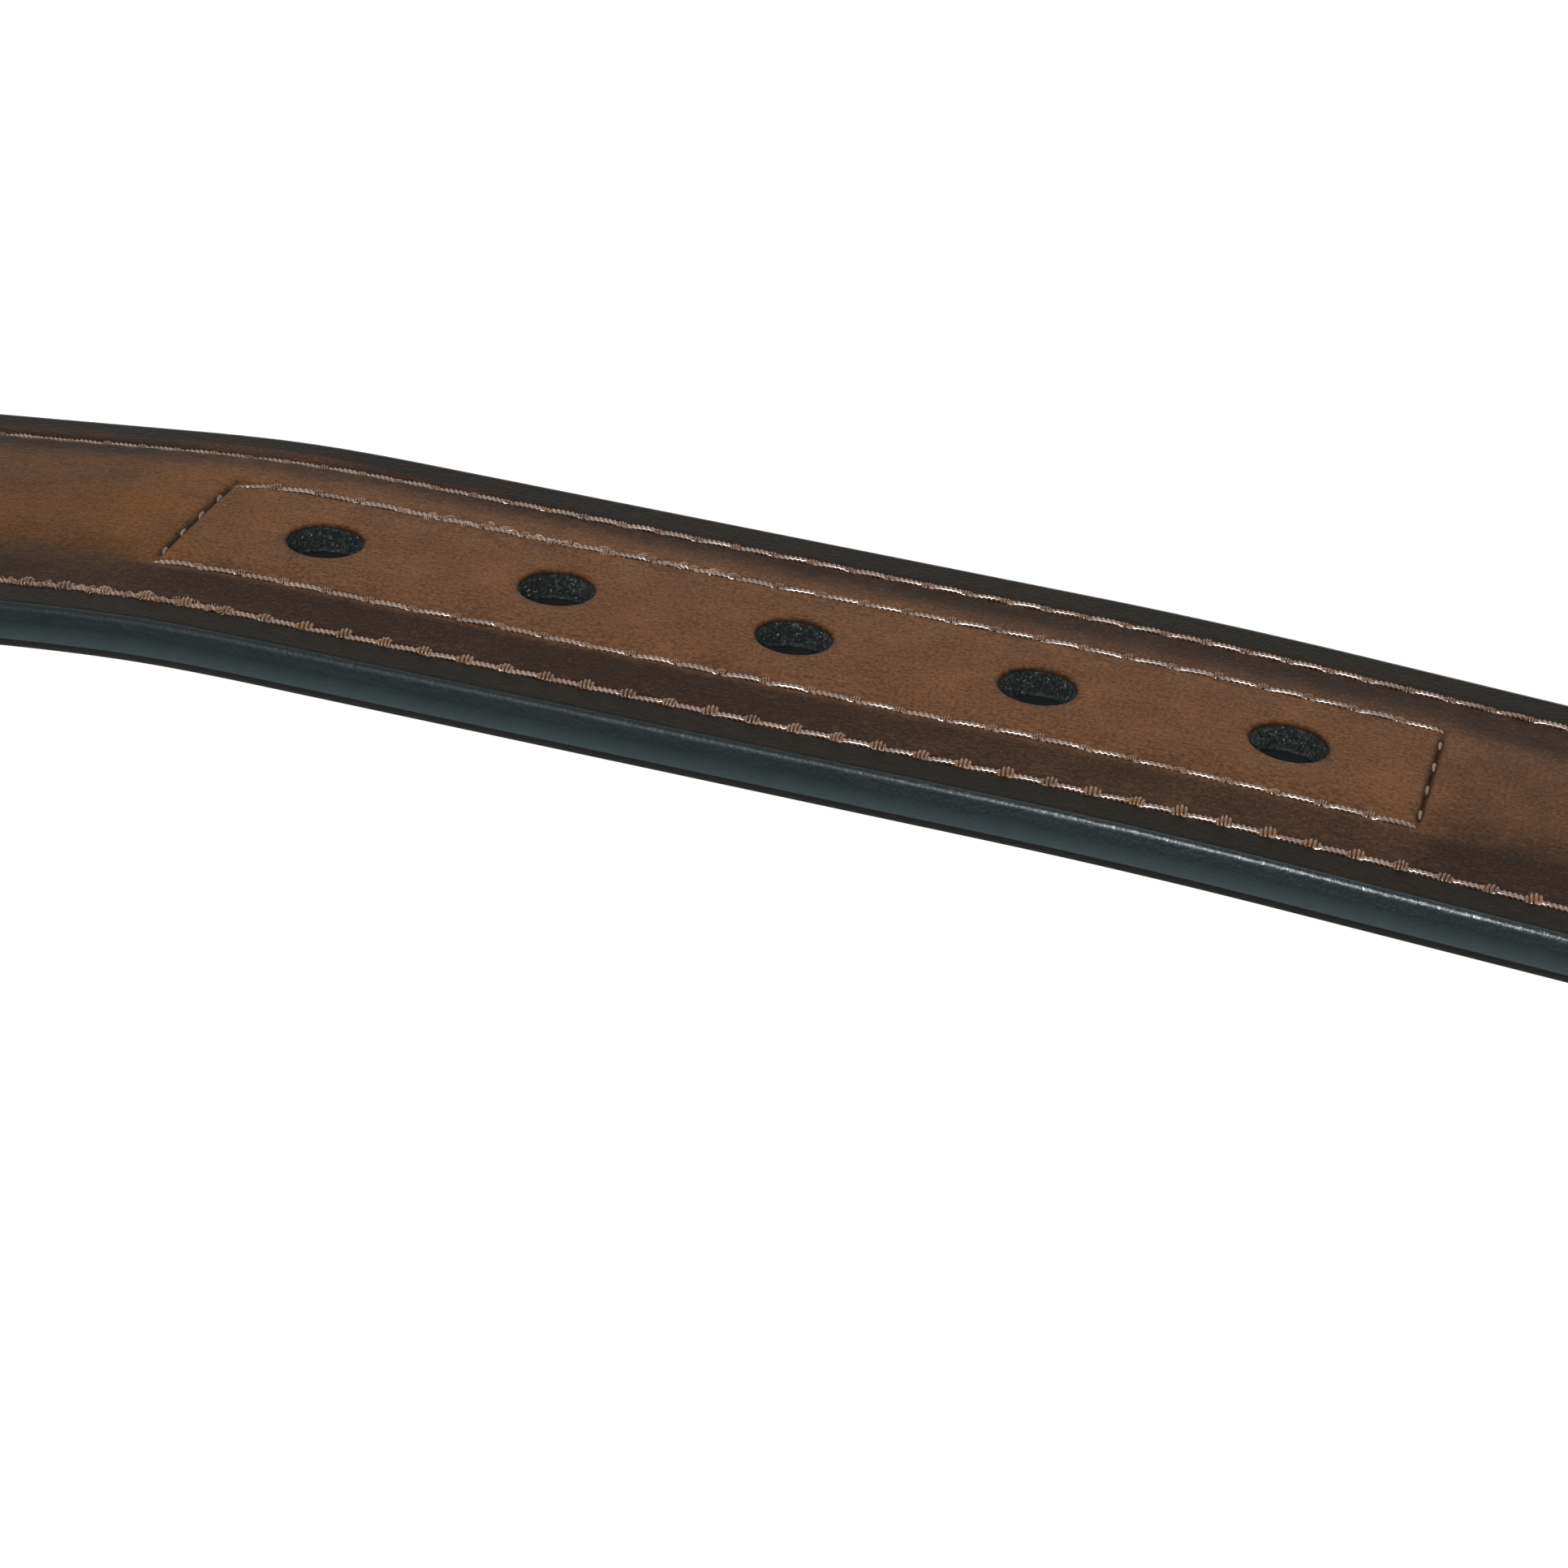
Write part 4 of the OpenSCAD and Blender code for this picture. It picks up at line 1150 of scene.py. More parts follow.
# Lines across the strap from a hole's square to the edge, in millimetres from the middle line
FACE_LINES = np.array([
    9.9, 10.2, 10.42, 10.6, 10.75, 10.95, 11.25, 11.7, 12.4, 13.2, 14.0, 14.9, 15.8, 16.7, 17.4, 17.8,
    18.08, 18.3, 18.48, 18.66, 18.9, 19.2, 19.7, 20.4, 21.2, 22.0, 22.5, 22.8, 23.05, 23.25, 23.42, 23.53,
    23.585, 23.6])
SKIRT_LINES = np.array([13.0, 18.0, 23.3, 23.36, 23.6])
PLAIN_LINES = np.array([14.0, 20.0, 23.6])
BACK_LINES = np.array([
    10.1, 10.4, 10.65, 10.9, 11.2, 13.0, 15.5, 17.7, 18.1, 18.35, 18.5, 18.65, 18.9, 19.3, 21.0, 22.6, 23.5,
    23.6])
SQUARE = 9.5


def row_points(path, stitch):
    """Needle holes along a path of (s, u) points, evenly spaced near the given stitch length."""
    gaps = np.hypot(*np.diff(path, axis=0).T)
    run = np.concatenate([[0], np.cumsum(gaps)])
    at = np.linspace(0, run[-1], max(2, round(run[-1] / stitch) + 1))
    return np.stack([np.interp(at, run, path[:, 0]), np.interp(at, run, path[:, 1])], -1)


def edge_path(strap, end):
    """The edge row from the buckle end along one edge, round the point and back along the other edge."""
    meet = math.atan2(strap.nose_y, strap.arch_u)
    arch = np.linspace(0, meet, 40)
    nose = np.linspace(meet, math.pi / 2, 20)
    arch_r = strap.arch_r - strap.inset
    nose_r = strap.nose - strap.inset
    u = np.concatenate([arch_r * np.cos(arch) - strap.arch_u, nose_r * np.cos(nose)])
    y = np.concatenate([arch_r * np.sin(arch), strap.nose_y + nose_r * np.sin(nose)])
    half = np.concatenate([[[end, strap.seam_u]], np.stack([strap.point - y, u], -1)])
    other = half[::-1] * np.array([1, -1])
    return np.concatenate([half, other[1:]])


def waver(s, long, short, shift=0):
    """How far a row of stitches strays from its line, in a long wave and a short one."""
    long_stray = 0.1
    short_stray = 0.08
    return long_stray * np.sin(s / long) + short_stray * np.sin(s / short + shift)


def box_sides(strap):
    """The two long rows of the box, slightly wavy, one of them with its last corner cut round."""
    low, high, side = strap.box_from, strap.box_to, strap.box_half
    corner = 2.6
    turn = np.radians(np.linspace(0, 60, 5))
    s = steps(low, high - corner, 1)
    wave = waver(s, 5.3, 2.9, shift=1)
    straight = np.stack([s, wave - side], -1)
    rounded = np.stack([
        high - corner + corner * np.sin(turn), corner * (1 - np.cos(turn)) + wave[-1] - side], -1)
    s = steps(low, high, 1)
    return [np.concatenate([straight, rounded[1:]]), np.stack([s, side + waver(s, 4.7, 3.1)], -1)]


def box_ends(strap):
    """The two short rows across the ends of the box."""
    side = strap.box_half - 0.5
    cut_off = 1.6
    u = np.array([-side, side])
    from_cut = np.array([cut_off - side, side])
    return [np.stack([np.full(2, strap.box_from), u], -1), np.stack([np.full(2, strap.box_to), from_cut], -1)]


def scattered(start, end, middle, count, along, across):
    """Places near a line, shifted unevenly by up to the given lengths along and across it."""
    along_turn = 2.4
    across_turn = 1.7
    k = np.arange(count)
    s = np.linspace(start, end, count) + along * np.sin(k * along_turn)
    return np.stack([s, middle + across * np.sin(k * across_turn)], -1)


def seat_rows(strap, rows, level, back=False):
    """Seats of the stitches of several rows of needle holes."""
    seats = [seat_stitches(strap, holes, level, back) for holes in rows]
    return [np.concatenate(parts) for parts in zip(*seats)]


def seat_stitches(strap, holes, level, back=False):
    """Middles, directions towards the point, ups and lengths of the stitches between needle holes."""
    s, u = holes.T
    places = strap.place(s, u, level(s, u))
    to_point = np.where(np.diff(s) > 0, -1, 1)
    along = np.diff(places, axis=0) * to_point[:, None]
    span = np.linalg.norm(along, axis=1)
    middle = (places[:-1] + places[1:]) / 2
    out = strap.axes((s[:-1] + s[1:]) / 2)[3]
    return middle * MM, along / span[:, None], -out if back else out, span * MM


def new_tree(name, lengths):
    """An empty tree that takes points, the named lengths and turns, a seed and a finish. Gives back the
    function that adds its nodes, and the values that it is given."""
    tree = bpy.data.node_groups.new(name, "GeometryNodeTree")
    sockets = [("Needle points", "Geometry"), *((key, "Float") for key in lengths)]
    sockets += [("Seed", "Int"), ("Finish", "Material")]
    for key, kind in sockets:
        tree.interface.new_socket(key, in_out="INPUT", socket_type="NodeSocket" + kind)
    tree.interface.new_socket("Thread", in_out="OUTPUT", socket_type="NodeSocketGeometry")
    return partial(add_node, tree, ""), tree.nodes.new("NodeGroupInput").outputs


def lay_on_points(add, given, strand, turn, size):
    """Ends a tree: a strand on every point, turned to face along its row and then by its own turn, as real
    geometry that is shaded smooth and has its finish."""
    along, out = (
        add("GeometryNodeInputNamedAttribute", {"Name": key}, data_type="FLOAT_VECTOR")
        for key in ("along", "out"))
    facing = add("FunctionNodeAxesToRotation", {0: along, 1: out}, primary_axis="X", secondary_axis="Z")
    own = add("FunctionNodeEulerToRotation", {0: turn})
    rotation = add("FunctionNodeRotateRotation", {0: facing, 1: own}, rotation_space="LOCAL")
    laid = add("GeometryNodeInstanceOnPoints", {
        "Points": given["Needle points"], "Instance": strand, "Rotation": rotation, "Scale": size})
    real = add("GeometryNodeRealizeInstances", {"Geometry": laid})
    soft = add("GeometryNodeSetShadeSmooth", {"Geometry": real})
    dressed = add("GeometryNodeSetMaterial", {"Geometry": soft, "Material": given["Finish"]})
    add("NodeGroupOutput", {0: dressed})


def stitch_tree(name):
    """Nodes that lay a stitch on every point: two twisted plies that dive into their needle holes."""
    add, given = new_tree(name, ("Thread size", "Turns", "Sink", "Slant"))
    t = add("GeometryNodeSplineParameter", out="Factor")
    # The section is a flat ring with four corners. The two narrow ones are the gaps between the plies.
    ridge_share = 0.56
    gap_share = 0.55
    ridge = add("ShaderNodeMath", {0: given["Thread size"], 1: ridge_share}, operation="MULTIPLY")
    ring = add("GeometryNodeCurvePrimitiveCircle", {"Resolution": 4, "Radius": ridge})
    flat = add("GeometryNodeTransform", {"Geometry": ring, "Scale": (1, gap_share, 1)})
    # ply is 1 on the wide corners and 0 in the gaps, where the thread's finish paints shade
    odd = add("ShaderNodeMath", {0: add("GeometryNodeInputIndex"), 1: 2}, operation="MODULO")
    even = add("ShaderNodeMath", {0: 1, 1: odd}, operation="SUBTRACT")
    profile = add("GeometryNodeStoreNamedAttribute", {
        "Geometry": flat, "Name": "ply", "Value": even}, data_type="FLOAT")
    line = add("GeometryNodeCurvePrimitiveLine", {"Start": (-0.5, 0, 0), "End": (0.5, 0, 0)})
    cut = add("GeometryNodeResampleCurve", {"Curve": line, "Count": 17})
    whole = add("ShaderNodeMath", {0: given["Turns"], 1: 2 * math.pi}, operation="MULTIPLY")
    turned = add("ShaderNodeMath", {0: t, 1: whole}, operation="MULTIPLY")
    twisted = add("GeometryNodeSetCurveTilt", {"Curve": cut, "Tilt": turned})
    # A stitch is drawn tight at one end and stands up at the other
    tight = 0.65
    wider = 0.5
    loose = add("ShaderNodeMath", {0: t, 1: wider, 2: tight}, operation="MULTIPLY_ADD")
    tapered = add("GeometryNodeSetCurveRadius", {"Curve": twisted, "Radius": loose})
    # It sinks with the fourth power of the distance from its middle
    centred = add("ShaderNodeMath", {0: t, 1: 2, 2: -1}, operation="MULTIPLY_ADD")
    square = add("ShaderNodeMath", {0: centred, 1: centred}, operation="MULTIPLY")
    fourth = add("ShaderNodeMath", {0: square, 1: square}, operation="MULTIPLY")
    deepest = add("ShaderNodeMath", {0: given["Sink"], 1: -1}, operation="MULTIPLY")
    drop = add("ShaderNodeMath", {0: fourth, 1: deepest}, operation="MULTIPLY")
    offset = add("ShaderNodeCombineXYZ", {2: drop})
    bent = add("GeometryNodeSetPosition", {"Geometry": tapered, "Offset": offset})
    strands = add("GeometryNodeCurveToMesh", {"Curve": bent, "Profile Curve": profile})
    most = (0.3, 0.03, 0.06)
    least = tuple(-angle for angle in most)
    wobble = add("FunctionNodeRandomValue", {
        0: least, 1: most, "Seed": given["Seed"]}, data_type="FLOAT_VECTOR")
    lean = add("ShaderNodeCombineXYZ", {2: given["Slant"]})
    turn = add("ShaderNodeVectorMath", {0: wobble, 1: lean}, operation="ADD")
    span = add("GeometryNodeInputNamedAttribute", {"Name": "span"}, data_type="FLOAT")
    size = add("ShaderNodeCombineXYZ", {0: span, 1: 1, 2: 1})
    lay_on_points(add, given, strands, turn, size)


def fibre_tree(name):
    """Nodes that arch a small bundle of loose fibres over from every point, uphill from its row."""
    add, given = new_tree(name, ("Fibre size", "Spread", "Rise", "Lean", "Turn"))
    radius = add("ShaderNodeMath", {0: given["Fibre size"], 1: 0.5}, operation="MULTIPLY")
    profile = add("GeometryNodeCurvePrimitiveCircle", {"Resolution": 4, "Radius": radius})
    t = add("GeometryNodeSplineParameter", out="Factor")
    thinner = add("ShaderNodeMath", {0: t, 1: -0.5, 2: 1}, operation="MULTIPLY_ADD")
    reach = add("ShaderNodeCombineXYZ", {0: given["Spread"], 1: given["Lean"], 2: given["Rise"]})
    bundle = add("GeometryNodeJoinGeometry")
    foot_sink = 0.2
    knee_at = 0.3
    widening = 1.05
    # Place of each strand along the row, and its length against the longest
    for place, share in ((-1.5, 0.85), (-0.5, 1.1), (0.5, 1), (1.5, 0.65)):
        wider = place * widening
        parts = ((place, 0, -foot_sink), (wider, -share * knee_at, 2 * share), (wider, -share, 0))
        foot, knee, tip = (
            add("ShaderNodeVectorMath", {0: reach, 1: part}, operation="MULTIPLY") for part in parts)
        arch = {"Resolution": 3, "Start": foot, "Middle": knee, "End": tip}
        curve = add("GeometryNodeCurveQuadraticBezier", arch)
        strand = add("GeometryNodeSetCurveRadius", {"Curve": curve, "Radius": thinner})
        tube = add("GeometryNodeCurveToMesh", {"Curve": strand, "Profile Curve": profile, "Fill Caps": True})
        set_inputs(bundle.id_data, bundle.node, {0: tube})
    tilt = 0.15
    most = add("ShaderNodeCombineXYZ", {0: tilt, 1: tilt, 2: given["Turn"]})
    least = add("ShaderNodeVectorMath", {0: most, 1: (-1, -1, -1)}, operation="MULTIPLY")
    turned = {0: least, 1: most, "Seed": given["Seed"]}
    turn = add("FunctionNodeRandomValue", turned, data_type="FLOAT_VECTOR")
    smallest = (0.85, 0.8, 0.75)
    largest = (1.1, 1.15, 1.15)
    sized = {0: smallest, 1: largest, "Seed": given["Seed"]}
    size = add("FunctionNodeRandomValue", sized, data_type="FLOAT_VECTOR")
    lay_on_points(add, given, bundle, turn, size)


TREE_MAKERS = {"twisted_stitch": stitch_tree, "loose_fibres": fibre_tree}


def grow(name, kind, seats, settings):
    """Runs a tree, made once, on points with directions, and gives back the plain mesh that it makes."""
    if kind not in bpy.data.node_groups:
        TREE_MAKERS[kind](kind)
    tree = bpy.data.node_groups[kind]
    middle, along, out, span = seats
    mesh = bpy.data.meshes.new(name + "_points")
    mesh.from_pydata(middle.tolist(), [], [])
    for key, data in (("along", along), ("out", out), ("span", span)):
        store(mesh, key, data)
    seeds = link_object(name + "_points", mesh)
    modifier = seeds.modifiers.new("laid", "NODES")
    modifier.node_group = tree
    for socket in tree.interface.items_tree:
        if socket.in_out == "INPUT" and socket.name in settings:
            modifier[socket.identifier] = settings[socket.name]
    evaluated = seeds.evaluated_get(bpy.context.evaluated_depsgraph_get())
    grown = bpy.data.meshes.new_from_object(evaluated)
    bpy.data.objects.remove(seeds)
    bpy.data.meshes.remove(mesh)
    return grown


def join_meshes(name, meshes):
    """One object from several grown meshes, each with its own finish."""
    work = bmesh.new()
    finishes = []
    for mesh in meshes:
        first = len(work.faces)
        work.from_mesh(mesh)
        work.faces.ensure_lookup_table()
        for face in work.faces[first:]:
            face.material_index += len(finishes)
        finishes += list(mesh.materials)
    joined = bpy.data.meshes.new(name)
    work.to_mesh(joined)
    work.free()
    for material in finishes:
        joined.materials.append(material)
    for mesh in meshes:
        bpy.data.meshes.remove(mesh)
    joined.shade_smooth()
    return link_object(name, joined)


def hand_in_thread(node, meshes):
    """Joins the grown meshes of a thread and hands the piece in on the strap."""
    hand_in(join_meshes(node + "_piece", meshes), STRAP, "thread", node)


def sew(name, seats, size, seed):
    """Stitches laid on their seats."""
    threads = bpy.context.scene.girth_threads
    sink = 0.4
    settings = {
        "Thread size": size, "Turns": 4, "Sink": sink * MM, "Slant": threads.slant,
        "Seed": threads.seed + seed, "Finish": finish("thread"),
    }
    return grow(name, "twisted_stitch", seats, settings)


def bristle(name, strap, holes, level, size, spread, rise, lean, turn, seed, look="tuft"):
    """Loose fibres at needle holes, with their sizes in millimetres."""
    s, u = holes.T
    middle = strap.place(s, u, level(s, u)) * MM
    _, ahead, _, out = strap.axes(s)
    settings = {
        "Fibre size": size * MM, "Spread": spread * MM, "Rise": rise * MM, "Lean": lean * MM, "Turn": turn,
        "Seed": seed, "Finish": finish(look),
    }
    return grow(name, "loose_fibres", (middle, ahead, out, np.ones(len(s))), settings)


class GIRTH_OT_stage(bpy.types.Operator):
    """Sets up the pale floor, the soft light and the camera"""

    bl_idname = "girth.stage"
    bl_label = "Stage"

    # The camera looks steeply down on the holed part of the strap, nearly upside down: its place and its axes
    CAMERA_MM = (-42.881, -299.047, 358.776)
    RIGHT = (-0.958149, -0.084081, -0.273644)
    UP = (0.2035, -0.872356, -0.444503)
    BACK = (-0.20134, -0.481587, 0.852957)
    LENS = 87.223

    def execute(self, context):
        scene = context.scene
        scene.view_settings.view_transform = "Standard"
        self.lay_floor()
        self.hang_lights(scene)
        data = bpy.data.cameras.new("camera")
        data.lens = self.LENS
        data.sensor_width = 36
        data.clip_start = 0.01
        camera = link_object("camera", data)
        columns = Matrix((self.RIGHT, self.UP, self.BACK)).transposed().to_4x4()
        camera.matrix_world = Matrix.Translation(Vector(self.CAMERA_MM) * MM) @ columns
        scene.camera = camera
        return {"FINISHED"}

    def lay_floor(self):
        """A wide board just under the strap's lower edge."""
        reach = 12.0
        below = -0.6 * MM
        mesh = bpy.data.meshes.new("floor")
        corners = [(x * reach, y * reach, below) for x, y in ((-1, -1), (1, -1), (1, 1), (-1, 1))]
        mesh.from_pydata(corners, [], [(0, 1, 2, 3)])
        mesh.materials.append(finish("floor"))
        link_object("floor", mesh)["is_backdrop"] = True

    def hang_lights(self, scene):
        """White surroundings, a lamp beside the camera and a wide soft box over the strap."""
        world = bpy.data.worlds.new("studio")
        world.use_nodes = True
        sky = world.node_tree.nodes["Background"]
        set_inputs(world.node_tree, sky, {"Color": (1, 1, 1, 1), "Strength": 0.25})
        scene.world = world
        # Place, target, width and power of each lamp
        lamps = {
            "lamp_by_camera": ((0.0, -0.62, 0.82), (0.03, -0.12, 0.03), 0.12, 7),
            "soft_box": ((0.4, -0.5, 1.3), (0, 0, 0.03), 1.0, 4),
        }
        for name, (place, target, width, power) in lamps.items():
            data = bpy.data.lights.new(name, "AREA")
            data.size = width
            data.energy = power
            lamp = link_object(name, data)
            lamp.location = place
            lamp.rotation_euler = (Vector(target) - Vector(place)).to_track_quat("-Z", "Y").to_euler()


class GIRTH_OT_face(bpy.types.Operator):
    """Builds the face leather with its crown, holes, painted edge and turned end"""

    bl_idname = "girth.face"
    bl_label = "Face leather"

    def execute(self, context):
        strap = read_strap()
        layer = build_layer(
            strap, face_rings(strap), (strap.face_top, FACE_LINES), (strap.face_bottom, SKIRT_LINES), SQUARE,
            (0, 1, 2), slot=strap.face_slot, holes=FACE_PUNCH, bulge=0.16)
        hand_in_layer(strap, layer, "face_leather", "face_leather", "leather", "paint", "fibre")
        return {"FINISHED"}


class GIRTH_OT_padding(bpy.types.Operator):
    """Builds the firm core behind the holes, the soft filler, the woven stay and the turned end's packing"""

    bl_idname = "girth.padding"
    bl_label = "Core, filler, stay and packing"

    # How far the core and the filler end inside the painted edge
    INSET = 0.32

    def execute(self, context):
        strap = read_strap()
        sides = ((strap.padding_top, PLAIN_LINES), (strap.padding_bottom, PLAIN_LINES))
        core = build_layer(
            strap, layer_rings(strap, 0, strap.core_end, True), *sides, SQUARE, (0, 0, 0), inset=self.INSET,
            holes=CORE_PUNCH)
        hand_in_layer(strap, core, "hole_core", "core_fibre", "fibre", sharp=80)
        start = strap.core_end + strap.BUTT_GAP
        filler = build_layer(
            strap, layer_rings(strap, start, strap.layers_end, False), *sides, SQUARE, (0, 0, 0),
            inset=self.INSET, slot=strap.face_slot)
        hand_in_layer(strap, filler, "strap_filler", "filler_felt", "felt")
        self.build_stay(strap)
        self.build_packing(strap)
        return {"FINISHED"}

    def build_stay(self, strap):
        """The woven tape under the box, let into the lining."""
        side = strap.stay_half()
        border = 0.4
        lines = np.array([side])
        stay = build_layer(
            strap, hole_rings(strap), (strap.stay_top, lines), (strap.stay_bottom, lines), side - border,
            (0, 0, 0), inset=strap.half - side, holes=THIN_PUNCH)
        hand_in_layer(strap, stay, "hole_stay", "stay_tape", "tape")

    def build_packing(self, strap):
        """The leather strip between the strap and its turned end, behind the fixed keeper."""
        keeper_end = 37.4
        set_in = 2
        start = strap.length - strap.turn_back + set_in
        rings = steps(start, strap.length - keeper_end, 3)
        top = lambda s, u: np.full_like(s, -strap.PLAY)
        bottom = lambda s, u: np.full_like(s, strap.PLAY - strap.KEEPER)
        packing = build_layer(
            strap, rings, (top, PLAIN_LINES), (bottom, PLAIN_LINES), SQUARE, (0, 1, 1), bulge=0.1)
        hand_in_layer(strap, packing, "turn_packing", "lining_leather", "lining", "paint")


class GIRTH_OT_lining(bpy.types.Operator):
    """Builds the lining leather of the back"""

    bl_idname = "girth.lining"
    bl_label = "Lining leather"

    def execute(self, context):
        strap = read_strap()
        rings = layer_rings(strap, 0, strap.layers_end, True, step=3.2)
        lining = build_layer(
            strap, rings, (strap.lining_top, PLAIN_LINES), (strap.lining_bottom, BACK_LINES), SQUARE,
            (0, 0, 0), slot=strap.face_slot, holes=THIN_PUNCH)
        hand_in_layer(strap, lining, "lining_leather", "lining_leather", "lining")
        return {"FINISHED"}


class GIRTH_OT_edge_rows(bpy.types.Operator):
    """Sews the two edge rows and the row round the point, on the face and on the back"""

    bl_idname = "girth.edge_rows"
    bl_label = "Edge rows"

    def execute(self, context):
        strap = read_strap()
        threads = context.scene.girth_threads
        sunk = 0.06
        # Behind the box the lower row is drawn in deeper
        drawn_in = 0.26
        deeper = lambda s, u: drawn_in * smooth(strap.box_to - 40, strap.box_to, s) * (u < 0)
        level = lambda s, u: strap.face_level(s, u) - sunk - deeper(s, u)
        holes = row_points(edge_path(strap, strap.layers_end), strap.edge_stitch)
        row = sew("edge_row", seat_stitches(strap, holes, level), threads.edge_thread, 0)
        hand_in_thread("edge_needle_thread", [row] + self.grow_tufts(strap, holes, level))
        back_gap = 0.4
        back_end = strap.length - strap.turn_back - back_gap
        holes = row_points(edge_path(strap, back_end), strap.edge_stitch)
        row = sew("edge_back", seat_stitches(strap, holes, strap.back_thread, True), threads.edge_thread, 1)
        hand_in_thread("edge_bobbin_thread", [row])
        return {"FINISHED"}

    def grow_tufts(self, strap, holes, level):
        """Loose ends at each needle hole, standing along the upper row and flat elsewhere, and its fuzz."""
        stands = (holes[:, 1] > strap.seam_u - 0.5) & (holes[:, 0] > strap.point)
        standing = bristle(
            "edge_tufts", strap, holes[stands] + np.array([0, 0.2]), level,
            size=0.4, spread=0.4, rise=0.45, lean=1, turn=0.2, seed=3)
        flat = bristle(
            "edge_ends", strap, holes[~stands] + np.array([0, 0.15]), level,
            size=0.34, spread=0.3, rise=0.2, lean=0.4, turn=0.2, seed=3)
        return [standing, flat, self.grow_fuzz(strap, level)]

    def grow_fuzz(self, strap, level):
        """Worn fibres that lie across the upper row behind the box."""
        first = strap.box_to - 12
        last = strap.box_to + 48
        places = scattered(first, last, strap.seam_u, count=90, along=0.5, across=0.3)
        return bristle(
            "edge_fuzz", strap, places, level, size=0.16, spread=0.3, rise=0.3, lean=0.6, turn=2.6, seed=13)


class GIRTH_OT_box_rows(bpy.types.Operator):
    """Sews the box round the holes, on the face and on the back"""

    bl_idname = "girth.box_rows"
    bl_label = "Box rows"

    def execute(self, context):
        strap = read_strap()
        threads = context.scene.girth_threads
        sides, ends = (
            [row_points(path, strap.box_stitch) for path in make(strap)] for make in (box_sides, box_ends))
        # The rows across the ends are drawn in, and only the middle of each stitch shows
        sunk = 0.05
        drawn_in = 0.34
        shown = 0.28
        end_thread = 0.85 * threads.box_thread
        level = lambda s, u: strap.face_level(s, u) - sunk
        deep = lambda s, u: strap.face_level(s, u) - drawn_in
        middle, along, out, span = seat_rows(strap, ends, deep)
        needle = [
            sew("box_sides", seat_rows(strap, sides, level), threads.box_thread, 2),
            sew("box_ends", (middle, along, out, shown * span), end_thread, 4),
            self.grow_whiskers(strap, level),
            self.grow_tufts(strap, np.concatenate([row[1:-1] for row in sides]), level),
        ]
        hand_in_thread("box_needle_thread", needle)
        row = sew("box_back", seat_rows(strap, sides + ends, strap.back_thread, True), threads.box_thread, 3)
        hand_in_thread("box_bobbin_thread", [row])
        return {"FINISHED"}

    def grow_tufts(self, strap, holes, level):
        """Smaller loose ends along both sides of the box."""
        return bristle(
            "box_tufts", strap, holes, level, size=0.3, spread=0.27, rise=0.24, lean=0.45, turn=0.4, seed=5)

    def grow_whiskers(self, strap, level):
        """Fine shiny hairs that stand out of the lower line of the box beside its last holes."""
        first = 150
        last = 187
        places = scattered(first, last, -strap.box_half, count=26, along=0.8, across=0.25)
        return bristle(
            "box_whiskers", strap, places, level, size=0.12, spread=0.22, rise=0.35, lean=1.1, turn=3.1,
            seed=11, look="whisker")


